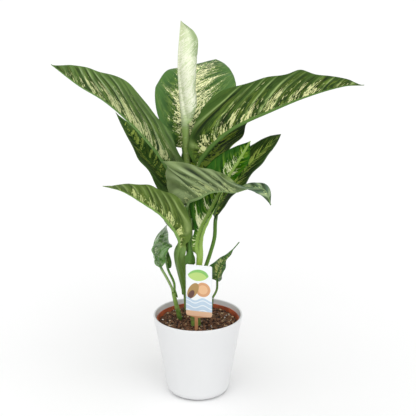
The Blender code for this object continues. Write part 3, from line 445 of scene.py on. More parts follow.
class Paint:
    """A node material in the making, with a short call for each kind of node."""

    def __init__(self, name, sockets):
        self.material = bpy.data.materials.new(name)
        self.material.use_nodes = True
        self.nodes = self.material.node_tree.nodes
        self.links = self.material.node_tree.links
        self.shader = self.nodes["Principled BSDF"]
        for socket, value in sockets.items():
            self.shader.inputs[socket].default_value = value

    def feed(self, socket, value):
        """Links or sets one input."""
        if isinstance(value, bpy.types.NodeSocket):
            self.links.new(value, socket)
        else:
            socket.default_value = value

    def node(self, kind, *values):
        """A new node, with values or links for its first inputs."""
        made = self.nodes.new(kind)
        for socket, value in zip(made.inputs, values):
            self.feed(socket, value)
        return made

    def math(self, operation, first, second=0.0, third=0.0, clamp=False):
        made = self.node("ShaderNodeMath", first, second, third)
        made.operation = operation
        made.use_clamp = clamp
        return made.outputs[0]

    def times(self, first, second, clamp=False):
        return self.math("MULTIPLY", first, second, clamp=clamp)

    def plus(self, first, second, clamp=False):
        return self.math("ADD", first, second, clamp=clamp)

    def minus(self, first, second):
        return self.math("SUBTRACT", first, second)

    def mix(self, share, first, second):
        """A colour between two, each given by a link or by 0 to 255 values of red, green and blue."""
        made = self.nodes.new("ShaderNodeMix")
        made.data_type = "RGBA"
        self.feed(made.inputs[0], share)
        for socket, colour in zip(made.inputs[6:8], (first, second)):
            self.feed(socket, linear(colour) if isinstance(colour, tuple) else colour)
        return made.outputs[2]

    def ease(self, value, start, end, low=0.0, high=1.0):
        """low before start, high after end, and smooth between them."""
        made = self.node("ShaderNodeMapRange", value, start, end, low, high)
        made.interpolation_type = "SMOOTHSTEP"
        return made.outputs[0]

    def join(self, x, y, z):
        return self.node("ShaderNodeCombineXYZ", x, y, z).outputs[0]

    def split(self, vector):
        return self.node("ShaderNodeSeparateXYZ", vector).outputs

    def attribute(self, name):
        """The three numbers of a mesh attribute."""
        node = self.nodes.new("ShaderNodeAttribute")
        node.attribute_name = name
        return self.split(node.outputs["Vector"])

    def place(self):
        """The place on the object, in metres."""
        return self.nodes.new("ShaderNodeTexCoord").outputs["Object"]

    def noise(self, vector, scale=1.0, detail=3.0, roughness=0.5, distortion=0.0):
        made = self.node("ShaderNodeTexNoise", vector)
        made.inputs["Scale"].default_value = scale
        made.inputs["Detail"].default_value = detail
        made.inputs["Roughness"].default_value = roughness
        made.inputs["Distortion"].default_value = distortion
        return made.outputs[0]

    def cells(self, vector, scale):
        """Distance to the nearest of scattered points."""
        made = self.node("ShaderNodeTexVoronoi", vector)
        made.inputs["Scale"].default_value = scale
        return made.outputs["Distance"]

    def finish(self, colour, roughness=None, height=None, depth=0.0002, strength=0.4):
        """Joins the colour, and where given the roughness and a height in depth metres, to the shader."""
        self.feed(self.shader.inputs["Base Color"], colour)
        if roughness is not None:
            self.feed(self.shader.inputs["Roughness"], roughness)
        if height is not None:
            bump = self.nodes.new("ShaderNodeBump")
            bump.inputs["Strength"].default_value = strength
            bump.inputs["Distance"].default_value = depth
            self.feed(bump.inputs["Height"], height)
            self.feed(self.shader.inputs["Normal"], bump.outputs[0])
        return self.material


def leaf_skin(leaf, seed):
    """Green skin with streaks and washes, painted highlights and shade on the folds along its veins, a bluer
    tip painted as a sky reflection where given, a paler rib and lower side, and a stalk.
    """
    look = leaf.look
    finish = {"Coat Weight": look.coat, "Coat Roughness": 0.25, "Specular IOR Level": look.specular}
    paint = Paint(leaf.name + "_skin", finish)
    run, across, along = paint.attribute("grain")
    share, outward, upper = paint.attribute("blade_place")
    stalk = paint.attribute("stalk_share")[0]
    reach = paint.math("ABSOLUTE", across)
    out = paint.math("ABSOLUTE", outward)
    side = paint.plus(paint.times(paint.math("SIGN", across), SIDE_SHIFT), seed * LEAF_SHIFT)

    def veined(per_run, per_reach, shift=0.0, detail=3.0):
        """Noise that is drawn out along the veins."""
        along_rib = paint.math("MULTIPLY_ADD", run, per_run, shift)
        place = paint.join(along_rib, paint.times(reach, per_reach), side)
        return paint.noise(place, detail=detail, roughness=0.6, distortion=0.4)

    # Cream blotches: coarse and fine streaks, which thin out to the margin, in patches and to the tip
    flame_reach = paint.ease(veined(0.05, 0.0, 3.1), 0.32, 0.68, look.reach * 0.5, look.reach * 1.3)
    fine_streaks = paint.times(veined(look.fine * 2.3, look.long * 4.5, 8.0, detail=2.0), 0.48)
    level = paint.math("MULTIPLY_ADD", veined(look.fine, look.long, detail=4.0), 0.52, fine_streaks)
    level = paint.math("MULTIPLY_ADD", paint.minus(level, 0.5), STREAK_CONTRAST, 0.5 + look.cover)
    level = paint.plus(level, paint.ease(share, 0.1, 0.55, look.base_cover, 0.0))
    for loss in (
        paint.ease(out, paint.times(flame_reach, 0.3), flame_reach, 0.0, 0.6),
        paint.ease(veined(0.075, 0.02, 5.3, detail=2.0), 0.38, 0.58, look.gap, 0.0),
        paint.ease(share, 0.66, 0.98, 0.0, 0.3),
    ):
        level = paint.minus(level, loss)
    blotch = paint.ease(level, 0.5 - look.soft, 0.5 + look.soft)

    # The yellower green round the blotches and the dark net between them
    near = paint.ease(out, paint.times(flame_reach, 0.5), paint.times(flame_reach, 1.3), 1.0, 0.0)
    wash = paint.ease(veined(look.fine * 0.6, look.long * 1.5, 12.0), 0.42, 0.62, 0.0, look.wash_share)
    net = paint.ease(veined(look.fine * 1.6, look.long * 3.0, 17.0), 0.46, 0.58, 0.0, look.net_share)

    # Folds: a painted highlight along each vein and painted shade on the side beyond it, as if lit from one
    # side
    half_pitch = leaf.pitch / 2
    from_vein = paint.math("DIVIDE", paint.math("PINGPONG", run, half_pitch), half_pitch)
    phase = paint.math("FRACT", paint.math("DIVIDE", run, leaf.pitch))
    least = 1.0 - 0.9 * look.unevenness
    most = 1.0 + 0.3 * look.unevenness
    unevenness = paint.ease(veined(0.05, 0.025, 23.0, detail=2.0), 0.34, 0.62, least, most)
    on_blade = paint.times(paint.ease(out, 0.03, 0.2, 0.2, 1.0), paint.ease(out, 0.7, 1.0, 1.0, 0.3))
    folding = paint.times(unevenness, on_blade)
    # Painted highlight: a paler band along each vein, standing for the lit side of each fold
    fold_highlight = paint.ease(from_vein, 0.0, look.fold_highlight_width, look.fold_highlight_share, 0.0)
    fold_highlight = paint.times(fold_highlight, folding, clamp=True)
    dark_rise = paint.ease(phase, 0.1, 0.3, 0.0, look.fold_shadow_share)
    shade = paint.times(dark_rise, paint.ease(phase, 0.35, 0.8, 1.0, 0.0))
    shade = paint.times(shade, folding, clamp=True)

    # Ground colour of the upper and the lower side and the margin, and a painted sky reflection at the tip
    mottle = paint.noise(paint.place(), scale=38.0, detail=4.0)
    tone = paint.ease(mottle, 0.3, 0.7, 0.1, 0.5)
    tone = paint.plus(tone, paint.ease(out, 0.1, 0.7, 0.0, 0.35))
    colour = paint.mix(tone, look.deep, look.fresh)
    lower = paint.minus(1.0, upper)
    under_dark = tuple(value * UNDER_SHADE for value in look.under)
    under_colour = paint.mix(tone, under_dark, look.under)
    colour = paint.mix(paint.times(lower, look.under_share), colour, under_colour)
    edge = paint.ease(out, look.margin_start, look.margin_start + 0.4, 0.0, look.margin_share)
    colour = paint.mix(edge, colour, look.margin)
    towards_tip_reflection = paint.ease(share, look.tip_reflection_start, look.tip_reflection_start + 0.12, 0.0, look.tip_reflection_share)
    colour = paint.mix(towards_tip_reflection, colour, look.tip)

    # The marks, from the painted fold shade and highlights up to the midrib
    shown = paint.minus(1.0, paint.times(lower, 1 - look.under_blotch))
    # Painted shade: the darkest green, on the shadowed side of each fold
    fold_shadow_colour = tuple(value * FOLD_SHADE for value in look.deep)
    colour = paint.mix(shade, colour, fold_shadow_colour)
    colour = paint.mix(fold_highlight, colour, look.fold_highlight)
    near = paint.times(near, shown)
    colour = paint.mix(paint.times(wash, near), colour, look.wash)
    colour = paint.mix(paint.times(net, near), colour, look.deep)
    colour = paint.mix(paint.times(blotch, shown), colour, look.blotch)
    towards_base = paint.ease(share, 0.0, 0.22, look.base_share, 0.0)
    colour = paint.mix(towards_base, colour, look.stalk_top)
    rib_edge = paint.times(paint.ease(share, 0.0, 1.0, 1.0, 0.3), look.rib_width)
    rib = paint.ease(paint.math("DIVIDE", reach, rib_edge), 0.75, 1.15, 1.0, 0.0)
    colour = paint.mix(rib, colour, look.rib)

    # The stalk, with fibres and pale flecks
    fibre = paint.noise(paint.join(paint.times(across, 0.55), paint.times(along, 0.03), seed * 1.3))
    stalk_tone = paint.plus(stalk, paint.ease(fibre, 0.35, 0.65, -0.2, 0.2), clamp=True)
    stalk_colour = paint.mix(stalk_tone, look.stalk_top, look.stalk)
    pale_fleck = paint.ease(paint.noise(paint.place(), scale=210.0, detail=2.0), 0.58, 0.72, 0.0, 0.3)
    stalk_colour = paint.mix(pale_fleck, stalk_colour, look.rib)
    colour = paint.mix(paint.ease(stalk, 0.0, 0.06), colour, stalk_colour)

    grain = paint.noise(paint.place(), scale=420.0)
    fine_vein = paint.math("PINGPONG", run, 0.9)
    height = paint.plus(paint.times(fine_vein, 0.5), grain)
    roughness = paint.ease(mottle, 0.3, 0.7, look.gloss - 0.06, look.gloss + 0.1)
    return paint.finish(colour, roughness, height, depth=0.0003, strength=0.35)


def glaze():
    """White glaze with the faintest unevenness."""
    paint = Paint("white_glaze", {"Coat Weight": 0.25, "Coat Roughness": 0.12})
    cloud = paint.noise(paint.place(), scale=14.0)
    colour = paint.mix(cloud, (225, 226, 227), (231, 232, 233))
    speck = paint.ease(paint.cells(paint.place(), 90.0), 0.02, 0.05, 0.25, 0.0)
    colour = paint.mix(speck, colour, (204, 202, 198))
    ripple = paint.noise(paint.place(), scale=60.0, detail=2.0)
    return paint.finish(colour, paint.ease(cloud, 0.3, 0.7, 0.3, 0.38), ripple, depth=0.0003, strength=0.12)


def terracotta_plastic():
    """Thin orange-brown plastic, scuffed and dusty with soil."""
    paint = Paint("terracotta_plastic", {})
    place = paint.place()
    cloud = paint.noise(place, scale=45.0, detail=5.0, roughness=0.6)
    colour = paint.mix(paint.ease(cloud, 0.35, 0.65), (156, 70, 36), (196, 98, 56))
    dust = paint.ease(paint.noise(place, scale=160.0, detail=4.0), 0.55, 0.68, 0.0, 0.5)
    colour = paint.mix(dust, colour, (92, 52, 34))
    rings = paint.noise(paint.join(0.0, 0.0, paint.times(paint.split(place)[2], 900.0)), detail=2.0)
    return paint.finish(colour, paint.ease(cloud, 0.3, 0.7, 0.45, 0.65), rings, depth=0.0002, strength=0.4)


def earth(name, dark, light, scale):
    """Crumbly stuff between two colours."""
    paint = Paint(name, {"Roughness": 0.9})
    place = paint.place()
    cloud = paint.noise(place, scale=scale, detail=6.0, roughness=0.7)
    colour = paint.mix(paint.ease(cloud, 0.42, 0.57), dark, light)
    grit = paint.noise(place, scale=scale * 6)
    return paint.finish(colour, None, grit, depth=0.0008, strength=0.7)


def cane_skin():
    """Green cane, browner at its leaf scars and near the soil."""
    paint = Paint("cane_skin", {"Coat Weight": 0.08})
    distance, scar, near_soil = paint.attribute("cane_place")
    place = paint.place()
    cloud = paint.noise(place, scale=90.0, detail=4.0)
    colour = paint.mix(paint.ease(cloud, 0.35, 0.65), (84, 120, 44), (132, 164, 74))
    colour = paint.mix(paint.times(scar, 0.7), colour, (150, 142, 92))
    colour = paint.mix(paint.times(near_soil, 0.5), colour, (62, 74, 34))
    fibre = paint.noise(place, scale=300.0)
    return paint.finish(colour, paint.ease(cloud, 0.3, 0.7, 0.38, 0.52), fibre, depth=0.0003, strength=0.4)


def tag_print():
    """The card's plain picture of a leaf, a sun and waves, on white over a tan foot and spike."""
    paint = Paint("tag_print", {"Coat Weight": 0.3, "Coat Roughness": 0.15, "Roughness": 0.32})
    x, z, front = paint.attribute("card_place")

    def disc(middle_x, middle_z, radius_x, radius_z, turn=0.0):
        """1 inside an oval and 0 outside it."""
        from_x = paint.minus(x, middle_x)
        from_z = paint.minus(z, middle_z)
        turned_x = paint.plus(paint.times(from_x, math.cos(turn)), paint.times(from_z, math.sin(turn)))
        turned_z = paint.minus(paint.times(from_z, math.cos(turn)), paint.times(from_x, math.sin(turn)))
        squares = []
        for distance, radius in ((turned_x, radius_x), (turned_z, radius_z)):
            share = paint.math("ABSOLUTE", paint.math("DIVIDE", distance, radius))
            squares.append(paint.math("POWER", share, 2.0))
        return paint.ease(paint.plus(*squares), 0.94, 1.06, 1.0, 0.0)

    cloud = paint.noise(paint.place(), scale=60.0, detail=2.0)
    colour = paint.mix(cloud, (246, 248, 248), (238, 243, 246))
    sun = disc(7.0, 47.0, 12.5, 12.5)
    colour = paint.mix(sun, colour, (214, 158, 112))
    colour = paint.mix(disc(7.0, 47.0, 8.0, 8.0), colour, (232, 186, 140))
    colour = paint.mix(disc(-10.0, 44.0, 8.0, 15.0, -0.5), colour, (172, 136, 78))
    colour = paint.mix(disc(-13.0, 37.0, 4.5, 8.5, -0.5), colour, (96, 58, 46))
    swell = paint.times(paint.math("SINE", paint.times(x, 0.22)), 2.6)
    wave_height = paint.minus(z, swell)
    sea = paint.ease(wave_height, 29.4, 30.4, 1.0, 0.0)
    colour = paint.mix(sea, colour, (192, 214, 232))
    foam = paint.math("PINGPONG", wave_height, 4.2)
    stripe = paint.times(paint.ease(foam, 0.5, 1.3, 1.0, 0.0), sea)
    colour = paint.mix(stripe, colour, (236, 243, 248))
    blade = paint.times(disc(-2.0, 66.0, 19.0, 15.0, 0.3), disc(0.0, 78.0, 20.0, 16.0, 0.3))
    colour = paint.mix(blade, colour, (132, 194, 96))
    lighter = paint.times(disc(-4.0, 61.0, 19.0, 15.0, 0.3), blade)
    colour = paint.mix(lighter, colour, (186, 216, 122))
    foot = paint.ease(z, 8.6, 9.0, 1.0, 0.0)
    colour = paint.mix(foot, colour, (228, 186, 150))
    below = paint.ease(z, -0.4, 0.0, 1.0, 0.0)
    colour = paint.mix(below, colour, (196, 140, 98))
    plain = paint.mix(paint.ease(z, -0.4, 0.0), (196, 140, 98), (236, 236, 230))
    colour = paint.mix(front, plain, colour)
    grain = paint.noise(paint.place(), scale=500.0, detail=2.0)
    return paint.finish(colour, paint.ease(cloud, 0.3, 0.7, 0.28, 0.36), grain, depth=0.0001, strength=0.1)


def new_piece(name, mesh, skin, nodes=()):
    """A piece in metres from a mesh in millimetres, which rides on the plant and stands for the nodes."""
    mesh.transform(((METRES, 0, 0, 0), (0, METRES, 0, 0), (0, 0, METRES, 0), (0, 0, 0, 1)))
    mesh.shade_smooth()
    mesh.materials.append(skin)
    piece = bpy.data.objects.new(name, mesh)
    bpy.context.scene.collection.objects.link(piece)
    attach(piece, "root")
    if nodes:
        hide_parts(*nodes)


def mesh_of(name, points, faces):
    """A mesh with its faces pointing out."""
    mesh = bpy.data.meshes.new(name)
    mesh.from_pydata([tuple(point) for point in points], [], faces)
    builder = bmesh.new()
    builder.from_mesh(mesh)
    bmesh.ops.recalc_face_normals(builder, faces=builder.faces)
    builder.to_mesh(mesh)
    builder.free()
    return mesh


def sheet_faces(rows, columns):
    """Faces of a closed sheet: an upper layer of rows by columns points, then a lower layer like it."""
    count = rows * columns
    faces = []
    for row in range(rows - 1):
        for column in range(columns - 1):
            first = row * columns + column
            second = first + columns
            faces.append((first, first + 1, second + 1, second))
            faces.append((first + count, second + count, second + count + 1, first + count + 1))
        for column in (0, columns - 1):
            first = row * columns + column
            second = first + columns
            faces.append((first, second, second + count, first + count))
    for row in (0, rows - 1):
        for column in range(columns - 1):
            first = row * columns + column
            faces.append((first, first + 1, first + 1 + count, first + count))
    return faces


def set_attribute(mesh, name, values):
    """Stores three numbers for each of the mesh's points."""
    layer = mesh.attributes.new(name, "FLOAT_VECTOR", "POINT")
    layer.data.foreach_set("vector", np.asarray(values, dtype=np.float32).ravel())


def route_of(points, steps=24):
    """A smooth curve through the points: its dense points, their directions and their distances along it."""
    places = [Vector(point) for point in points]
    count = len(places)
    ways = []
    for index in range(count):
        before = places[max(index - 1, 0)]
        after = places[min(index + 1, count - 1)]
        ways.append((after - before).normalized())
    dense = [places[0]]
    for index in range(count - 1):
        start, end = places[index], places[index + 1]
        handle = (end - start).length / 3
        leaving, arriving = start + ways[index] * handle, end - ways[index + 1] * handle
        dense.extend(interpolate_bezier(start, leaving, arriving, end, steps)[1:])
    dense = np.array([tuple(point) for point in dense])
    lengths = np.linalg.norm(np.diff(dense, axis=0), axis=1)
    distances = np.concatenate([[0.0], np.cumsum(lengths)])
    directions = np.gradient(dense, distances, axis=0)
    return dense, directions, distances


def along(route, distances):
    """Places and directions on a route at distances from its start."""
    dense, directions, reached = route
    places = np.stack([np.interp(distances, reached, dense[:, axis]) for axis in range(3)], axis=-1)
    ways = np.stack([np.interp(distances, reached, directions[:, axis]) for axis in range(3)], axis=-1)
    return places, unit(ways)


def unit(vectors):
    """The vectors at a length of 1."""
    return vectors / np.linalg.norm(vectors, axis=-1, keepdims=True)


def dot(first, second):
    """The dot products of two rows of vectors."""
    return np.sum(first * second, axis=-1, keepdims=True)


def smooth(share):
    """An even step from 0 to 1."""
    share = np.clip(share, 0.0, 1.0)
    return share**2 * (3 - 2 * share)


def eased(values, share):
    """A smooth value at a share of the way from the first of three values, past the second, to the third."""
    first, middle, last = values
    rise = first + (middle - first) * smooth(share * 2)
    return np.where(share < 0.5, rise, middle + (last - middle) * smooth(share * 2 - 1))


def cane_radius(cane, distance, length):
    """A cane's radius at a distance along it, without its leaf-scar rings."""
    share = np.maximum(0.0, distance - STEM_DEPTH) / (length - STEM_DEPTH)
    return cane.foot_radius + (cane.top_radius - cane.foot_radius) * share


def cane_at(cane, height):
    """A cane's middle, direction and radius at a height."""
    route = route_of(cane.axis)
    dense, _, distances = route
    above = np.nonzero(dense[:, 2] >= height)[0]
    distance = distances[above[0]] if len(above) else distances[-1]
    places, ways = along(route, np.array([distance]))
    return Vector(places[0]), Vector(ways[0]), cane_radius(cane, distance, distances[-1])


def leaf_route(leaf):
    """The leaf's smooth route with the stalk's length and the radius that its sheath bends to."""
    cane = next(cane for cane in CANES if cane.name == leaf.cane)
    middle, way, radius = cane_at(cane, leaf.foot_height)
    bend = radius + CLEARANCE + 0.15 + SHEATH_THICKNESS / 2
    heading = math.radians(leaf.foot_heading)
    outward = Vector((math.cos(heading), math.sin(heading), 0.0))
    outward = (outward - way * outward.dot(way)).normalized()
    on_top = leaf.foot_height > middle.z + 0.5
    foot = middle + way * (leaf.foot_height - middle.z) if on_top else middle + outward * bend
    points = [foot, foot + way * 10.0, *leaf.stalk, *leaf.midrib]
    if on_top:
        points = [foot, *leaf.stalk, *leaf.midrib]
    route = route_of(points)
    dense, _, distances = route
    nearest = np.argmin(np.linalg.norm(dense - np.array(leaf.stalk[-1]), axis=1))
    return route, distances[nearest], bend, on_top


def blade_outline(leaf, share):
    """The blade's half width at a share of its length, as a share of its widest half width."""
    opening = np.sqrt(np.maximum(0.0, 1 - np.maximum(0.0, 1 - share / leaf.widest) ** leaf.shoulder))
    rest = np.clip((share - leaf.widest) / (1 - leaf.widest), 0.0, 1.0)
    closing = np.maximum(0.0, 1 - rest**leaf.taper) ** leaf.point
    return np.where(share < leaf.widest, opening, closing)


def ring_distances(length, stalk_length):
    """Distances of the cross-sections from the foot, closer together at the blade's two ends."""
    stalk_rings = max(12, round(stalk_length / (RING_SPACING * 1.8)))
    blade_length = length - stalk_length
    blade_rings = max(36, round(blade_length / RING_SPACING))
    stalk = np.arange(stalk_rings) / stalk_rings * stalk_length
    even = np.arange(blade_rings + 1) / blade_rings
    share = 0.35 * (0.5 - 0.5 * np.cos(np.pi * even)) + 0.65 * even
    return np.concatenate([stalk, stalk_length + blade_length * share])


def stalk_rib(leaf, grown):
    """The stalk's half thickness at shares of its length."""
    foot_rib = leaf.foot_rib or leaf.rib
    return foot_rib + (leaf.rib - foot_rib) * smooth(grown)


def stalk_shape(leaf, distance, stalk_length, bend, on_top):
    """Half width, curl in radians, thickness and upper bump of the stalk at distances from its foot."""
    open_share = np.zeros_like(distance) if on_top else np.maximum(0.0, 1 - distance / leaf.sheath_length)
    radius = np.full_like(distance, bend)
    if leaf.sheath_radius > bend:
        radius += (leaf.sheath_radius - bend) * smooth(distance / (0.45 * leaf.sheath_length))
    clasp = math.radians(leaf.clasp) * np.minimum(1.0, 1.6 * open_share) ** 0.7
    half_width = np.maximum(stalk_rib(leaf, distance / stalk_length), radius * clasp)
    curl = np.where(open_share > 0, half_width / radius, 0.0) * np.minimum(1.0, open_share * 3)
    closed = 1 - np.minimum(1.0, open_share * 2)
    thickness = SHEATH_THICKNESS + (BLADE_THICKNESS - SHEATH_THICKNESS) * closed
    return half_width, curl, thickness, STALK_UPPER_BUMP * closed


def vein_run(leaf, forward, reach, share):
    """Where on the midrib the vein at a place sets out, in millimetres from the blade's base."""
    backward = smooth(share * 3.0)
    lean = leaf.slant * (0.6 + 0.8 * share) + leaf.sweep * reach / (leaf.width / 2)
    straight = forward - reach * (lean * backward - leaf.fan * (1 - backward))
    drift = np.sin(straight * 0.071 + 1.3) + 0.6 * np.sin(straight * 0.163 + reach * 0.04)
    return straight + VEIN_DRIFT * drift


def relief(leaf, run, outward, share, points):
    """How far the blade stands out of its plain curve, between its veins and along its crumples."""
    bulge = np.abs(np.sin(np.pi * run / leaf.pitch)) ** 1.1
    held = np.sin(np.pi * np.clip(outward**0.8, 0.0, 1.0)) ** 0.8
    ends = smooth(share / leaf.fold_start) * smooth((1 - share) * 4)
    uneven = 1 + 0.35 * np.sin(run * 0.11 + 0.7) + 0.25 * np.sin(run * 0.27)
    rise = leaf.quilt * (bulge - 0.5) * held * ends * uneven
    if leaf.crumple:
        for row, column in np.ndindex(outward.shape):
            lumps = noise.noise(Vector(points[row, column]) * 0.11)
            held_in = smooth(outward[row, column] * 4) * ends[row, column]
            rise[row, column] += leaf.crumple * lumps * held_in
    return rise


def leaf_mesh(leaf):
    """The leaf as one closed skin, with its vein coordinates stored as attributes."""
    route, stalk_length, bend, on_top = leaf_route(leaf)
    length = route[2][-1]
    distance = ring_distances(length, stalk_length)
    place, forward = along(route, distance)
    on_stalk = distance < stalk_length
    share = np.clip((distance - stalk_length) / (length - stalk_length), 0.0, 1.0)

    # The leaf's own directions: forward to its tip, out to its right and up
    turn = smooth(distance / stalk_length)
    heading = np.radians(leaf.foot_heading + (leaf.heading - leaf.foot_heading) * turn)
    if on_top:
        heading = np.full_like(distance, math.radians(leaf.heading))
    out = np.stack([np.sin(heading), -np.cos(heading), np.zeros_like(heading)], axis=-1)
    out = unit(out - forward * dot(out, forward))
    up = np.cross(out, forward)

    # Rib, half width, thickness, lobes and waves along the leaf
    blade_rib = TIP_RIB + (leaf.rib - TIP_RIB) * (1 - share) ** RIB_TAPER
    rib = np.where(on_stalk, stalk_rib(leaf, distance / stalk_length), blade_rib)
    half_width = leaf.width / 2 * blade_outline(leaf, share)
    half_width = np.maximum(half_width, (rib + TIP_HALF_WIDTH - TIP_RIB) / (1 - abs(leaf.skew)))
    stalk_width, stalk_curl, thickness, bump = stalk_shape(leaf, distance, stalk_length, bend, on_top)
    half_width = np.where(on_stalk, stalk_width, half_width)
    thickness = np.where(on_stalk, thickness, BLADE_THICKNESS)
    upper_bump = np.where(on_stalk, bump, STALK_UPPER_BUMP * np.maximum(0.0, 1 - share / BUMP_SHARE))
    opening = np.minimum(1.0, share / OPENING_SHARE) * np.minimum(1.0, (1 - share) / CLOSING_SHARE) ** 0.5
    wing = np.where(on_stalk, 0.0, 1 - smooth(share / WING_SHARE))
    half_width = np.maximum(half_width, stalk_width * wing)
    swelling = {-1: np.zeros_like(share), 1: np.zeros_like(share)}
    for bump_side, middle_share, height, spread in leaf.bumps:
        swelling[bump_side] += height * np.exp(-(((share - middle_share) / spread) ** 2))
    near_base = np.maximum(0.0, 1 - share / leaf.widest)
    lobe = leaf.lobe * near_base**1.5 * min(1.0, leaf.width / 100) * np.minimum(1.0, share * LOBE_GROWTH)
    lobe *= leaf.shoulder - 1
    waving = np.sin(np.pi * np.minimum(1.0, share * 1.2)) ** 0.5
    swell = np.where(share < WAVE_SHARE, leaf.wave * waving, 0.0)
    phase = math.tau * leaf.waves * share

    # Each cross-section's places from the left margin to the right
    step = np.linspace(-1.0, 1.0, 2 * COLUMNS + 1)
    side = np.sign(step)
    size = (len(distance), len(step))
    width = half_width[:, None] * (1 + side * np.where(on_stalk, 0.0, leaf.skew)[:, None])
    swelling_grid = np.where(side < 0, swelling[-1][:, None], swelling[1][:, None]) * np.abs(side)
    narrowest = np.minimum(width, (rib + TIP_HALF_WIDTH - TIP_RIB)[:, None])
    width = np.maximum(width + np.where(on_stalk[:, None], 0.0, swelling_grid), narrowest)
    rib_part = RIB_PART + (1 - RIB_PART) * (rib[:, None] / width) ** 2
    rib_part = np.minimum(rib_part, 1.0)
    within = np.minimum(np.abs(step) / rib_part, 1.0)
    beyond = np.clip((np.abs(step) - rib_part) / np.maximum(1 - rib_part, 1e-6), 0.0, 1.0)
    reach = rib[:, None] * np.sin(within * np.pi / 2) + np.maximum(width - rib[:, None], 0.0) * beyond
    outward = reach / width

    def by_side(left, right):
        return np.where(side < 0, left[:, None], np.where(side > 0, right[:, None], 0.0))

    # How far each half rises and curls
    left_tilt = np.radians(eased(leaf.left_lift, share) * opening)
    right_tilt = np.radians(eased(leaf.right_lift, share) * opening)
    lift = np.where(on_stalk[:, None], 0.0, by_side(left_tilt, right_tilt))
    left_curl = np.radians(eased(leaf.left_curl, share) * opening)
    right_curl = np.radians(eased(leaf.right_curl, share) * opening)
    sheath_curl = (stalk_curl * np.where(on_stalk, 1.0, wing))[:, None]
    curl = np.where(on_stalk[:, None], 0.0, by_side(left_curl, right_curl)) + np.abs(side) * sheath_curl
    closing = np.clip(OPEN_CURL + (width - NARROW_ROLL) * ROLL_GAIN, OPEN_CURL, 1.0)
    bend_turn = np.minimum(curl * closing, width / MIN_BEND) * outward
    middle = lift + bend_turn / 2
    chord = reach * np.sinc(bend_turn / 2 / np.pi)
    angle = lift + bend_turn
    up_row, out_row, forward_row = up[:, None, :], out[:, None, :], forward[:, None, :]
    normal = up_row * np.cos(angle)[..., None] - out_row * (side * np.sin(angle))[..., None]
    crease = up * (np.cos(left_tilt) + np.cos(right_tilt))[:, None]
    crease = unit(crease + out * (np.sin(left_tilt) - np.sin(right_tilt))[:, None])
    normal[:, COLUMNS] = crease
    points = place[:, None, :] + out_row * (side * chord * np.cos(middle))[..., None]
    points = points + up_row * (chord * np.sin(middle))[..., None]

    # Waves, folds and lobes, and then the two sides
    ripple = by_side(swell * np.sin(phase), swell * np.sin(phase + OTHER_SIDE_PHASE))
    ripple = np.where(on_stalk[:, None], 0.0, ripple)
    share_grid = np.broadcast_to(share[:, None], size)
    forward_grid = np.broadcast_to((distance - stalk_length)[:, None], size)
    run = vein_run(leaf, forward_grid, reach, share_grid)
    folds = np.where(on_stalk[:, None], 0.0, relief(leaf, run, outward, share_grid, points))
    rise = ripple * outward**2 + folds
    points = points + normal * rise[..., None]
    points = points - forward_row * (np.where(on_stalk, 0.0, lobe)[:, None] * outward**2)[..., None]

    mound = np.sqrt(np.maximum(0.0, rib[:, None] ** 2 - reach**2))
    margin = thickness[:, None] + (MARGIN_THICKNESS - thickness[:, None]) * outward**3
    margin = np.where(on_stalk[:, None], thickness[:, None], margin)
    upper = points + normal * (margin / 2 + mound * upper_bump[:, None])[..., None]
    lower = points - normal * (margin / 2 + mound)[..., None]

    across = side * reach
    stalk_share = np.broadcast_to(np.clip(1 - distance / stalk_length, 0.0, 1.0)[:, None], size)
    grain = np.stack([run, across, forward_grid], axis=-1)
    places = np.stack([share_grid, side * outward, np.ones(size)], axis=-1)
    under = places * np.array([1.0, 1.0, 0.0])
    stalks = np.stack([stalk_share] * 3, axis=-1)

    def layers(first, second):
        return np.concatenate([first.reshape(-1, 3), second.reshape(-1, 3)])

    mesh = mesh_of(leaf.name + "_skin", layers(upper, lower), sheet_faces(*size))
    set_attribute(mesh, "grain", layers(grain, grain))
    set_attribute(mesh, "blade_place", layers(places, under))
    set_attribute(mesh, "stalk_share", layers(stalks, stalks))
    return mesh


def make_leaf(leaf, seed):
    """One leaf, over its solid."""
    new_piece(leaf.name + "_skin", leaf_mesh(leaf), leaf_skin(leaf, seed), [leaf.name])


def tube(route, radii, sides):
    """Points and faces of a round tube of the given radii at even distances along a route."""
    distances = np.linspace(0.0, route[2][-1], len(radii))
    places, ways = along(route, distances)
    out = unit(np.cross(ways, np.array([0.13, 0.99, 0.05])))
    other = np.cross(ways, out)
    angles = np.linspace(0.0, math.tau, sides, endpoint=False)
    ring = out[:, None, :] * np.cos(angles)[None, :, None]
    ring = ring + other[:, None, :] * np.sin(angles)[None, :, None]
    points = (places[:, None, :] + ring * np.asarray(radii)[:, None, None]).reshape(-1, 3)
    faces = []
    for row in range(len(radii) - 1):
        for column in range(sides):
            after = (column + 1) % sides
            first, second = row * sides, (row + 1) * sides
            faces.append((first + column, first + after, second + after, second + column))
    faces.append(tuple(range(sides)))
    faces.append(tuple(range((len(radii) - 1) * sides, len(radii) * sides)))
    return points, faces, distances


def make_cane(cane, skin):
    """A cane with raised leaf-scar rings."""
    route = route_of(cane.axis)
    length = route[2][-1]
    distances = np.linspace(0.0, length, round(length / CANE_RING_SPACING))
    radii = cane_radius(cane, distances, length)
    scar = np.zeros_like(distances)
    for place in cane.scars:
        scar = np.maximum(scar, np.exp(-(((distances - place) / SCAR_WIDTH) ** 2)))
    radii = radii + SCAR_HEIGHT * scar
    points, faces, distances = tube(route, radii, CANE_SIDES)
    mesh = mesh_of(cane.name + "_skin", points, faces)
    near_soil = 1 - smooth((distances - STEM_DEPTH) / SOIL_STAIN)
    values = np.stack([distances, scar, near_soil], axis=-1)
    set_attribute(mesh, "cane_place", np.repeat(values, CANE_SIDES, axis=0))
    new_piece(cane.name + "_skin", mesh, skin, [cane.name])


